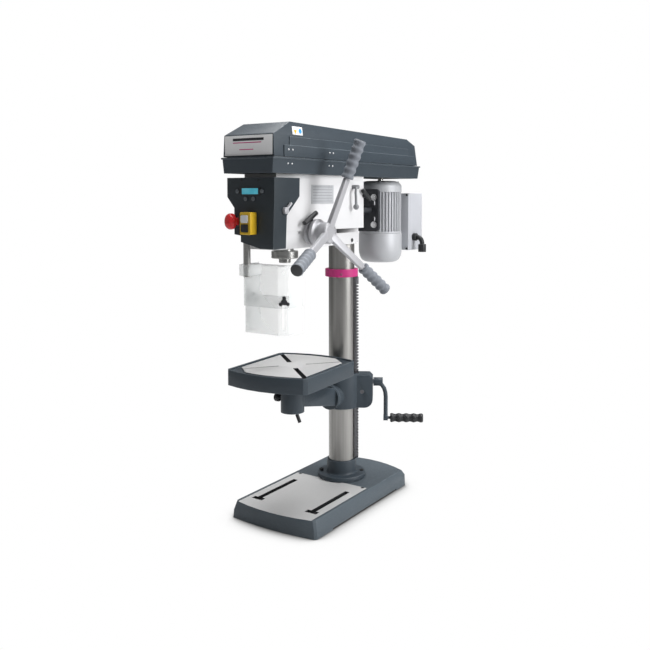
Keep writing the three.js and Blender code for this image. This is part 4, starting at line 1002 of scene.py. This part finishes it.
def floor_finish():
    material, tree, shader, where = base_material("floor_white")
    grain = use_group(tree, grain_group, Vector=where, Scale=3, Patch_scale=0.3)
    tree.links.new(mix_colour(tree, grain["Tone"], (0.62, 0.62, 0.62), (0.66, 0.66, 0.66)),
                   shader.inputs["Base Color"])
    shader.inputs["Roughness"].default_value = 0.9
    shader.inputs["Specular IOR Level"].default_value = 0.0
    corner = tree.nodes.new("ShaderNodeAmbientOcclusion")
    corner.samples = 16
    corner.inputs["Distance"].default_value = CONTACT
    fade = tree.nodes.new("ShaderNodeMapRange")
    fade.interpolation_type = "SMOOTHSTEP"
    fade.inputs["From Min"].default_value = 0.42
    fade.inputs["From Max"].default_value = 0.93
    fade.inputs["To Min"].default_value = 0.06
    tree.links.new(corner.outputs["AO"], fade.inputs["Value"])
    seen = tree.nodes.new("ShaderNodeLightPath")
    bright = tree.nodes.new("ShaderNodeEmission")
    tree.links.new(fade.outputs["Result"], bright.inputs["Strength"])
    bright.inputs["Color"].default_value = (1, 1, 1, 1)
    blend = tree.nodes.new("ShaderNodeMixShader")
    tree.links.new(seen.outputs["Is Camera Ray"], blend.inputs[0])
    tree.links.new(shader.outputs[0], blend.inputs[1])
    tree.links.new(bright.outputs[0], blend.inputs[2])
    tree.links.new(blend.outputs[0], tree.nodes["Material Output"].inputs["Surface"])
    return material


floor_mesh.materials.append(floor_finish())
floor = bpy.data.objects.new("floor", floor_mesh)
bpy.context.scene.collection.objects.link(floor)
floor.location = (0, 0, -0.0005)
floor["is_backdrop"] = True
print("floor laid")


# %% Lights
def soft_light(name, place, towards, size, power):
    data = bpy.data.lights.new(name, "AREA")
    data.shape = "RECTANGLE"
    data.size, data.size_y = size
    data.energy = power
    lamp = bpy.data.objects.new(name, data)
    bpy.context.scene.collection.objects.link(lamp)
    lamp.location = place
    lamp.rotation_euler = (Vector(towards) - Vector(place)).to_track_quat("-Z", "Y").to_euler()


soft_light("key", (3.2, 0.3, 1.9), (0, 0, 0.6), (1.4, 2.4), 115)
soft_light("top", (0.0, 0.5, 3.6), (0, 0, 0), (3.0, 3.0), 200)
soft_light("fill", (-2.6, -2.4, 1.8), (0, 0, 0.6), (1.5, 2.5), 5)
world = bpy.data.worlds.new("studio")
bpy.context.scene.world = world
world.use_nodes = True
background = world.node_tree.nodes["Background"]
background.inputs["Color"].default_value = (1, 1, 1, 1)
background.inputs["Strength"].default_value = 0.24
bright = world.node_tree.nodes.new("ShaderNodeBackground")
bright.inputs["Color"].default_value = (1, 1, 1, 1)
bright.inputs["Strength"].default_value = 1.0
path = world.node_tree.nodes.new("ShaderNodeLightPath")
choose = world.node_tree.nodes.new("ShaderNodeMixShader")
world.node_tree.links.new(path.outputs["Is Camera Ray"], choose.inputs[0])
world.node_tree.links.new(background.outputs[0], choose.inputs[1])
world.node_tree.links.new(bright.outputs[0], choose.inputs[2])
world.node_tree.links.new(choose.outputs[0], world.node_tree.nodes["World Output"].inputs[0])
bpy.context.scene.view_settings.view_transform = "Standard"
print("lit")

# %% [markdown]
# The boxes of the mechanical and the visual model are both printed.
# %% Finish
visual_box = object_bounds()
for label, box in (("cad", cad_box), ("visual", visual_box)):
    print(label, [round(c, 4) for corner in box for c in corner])
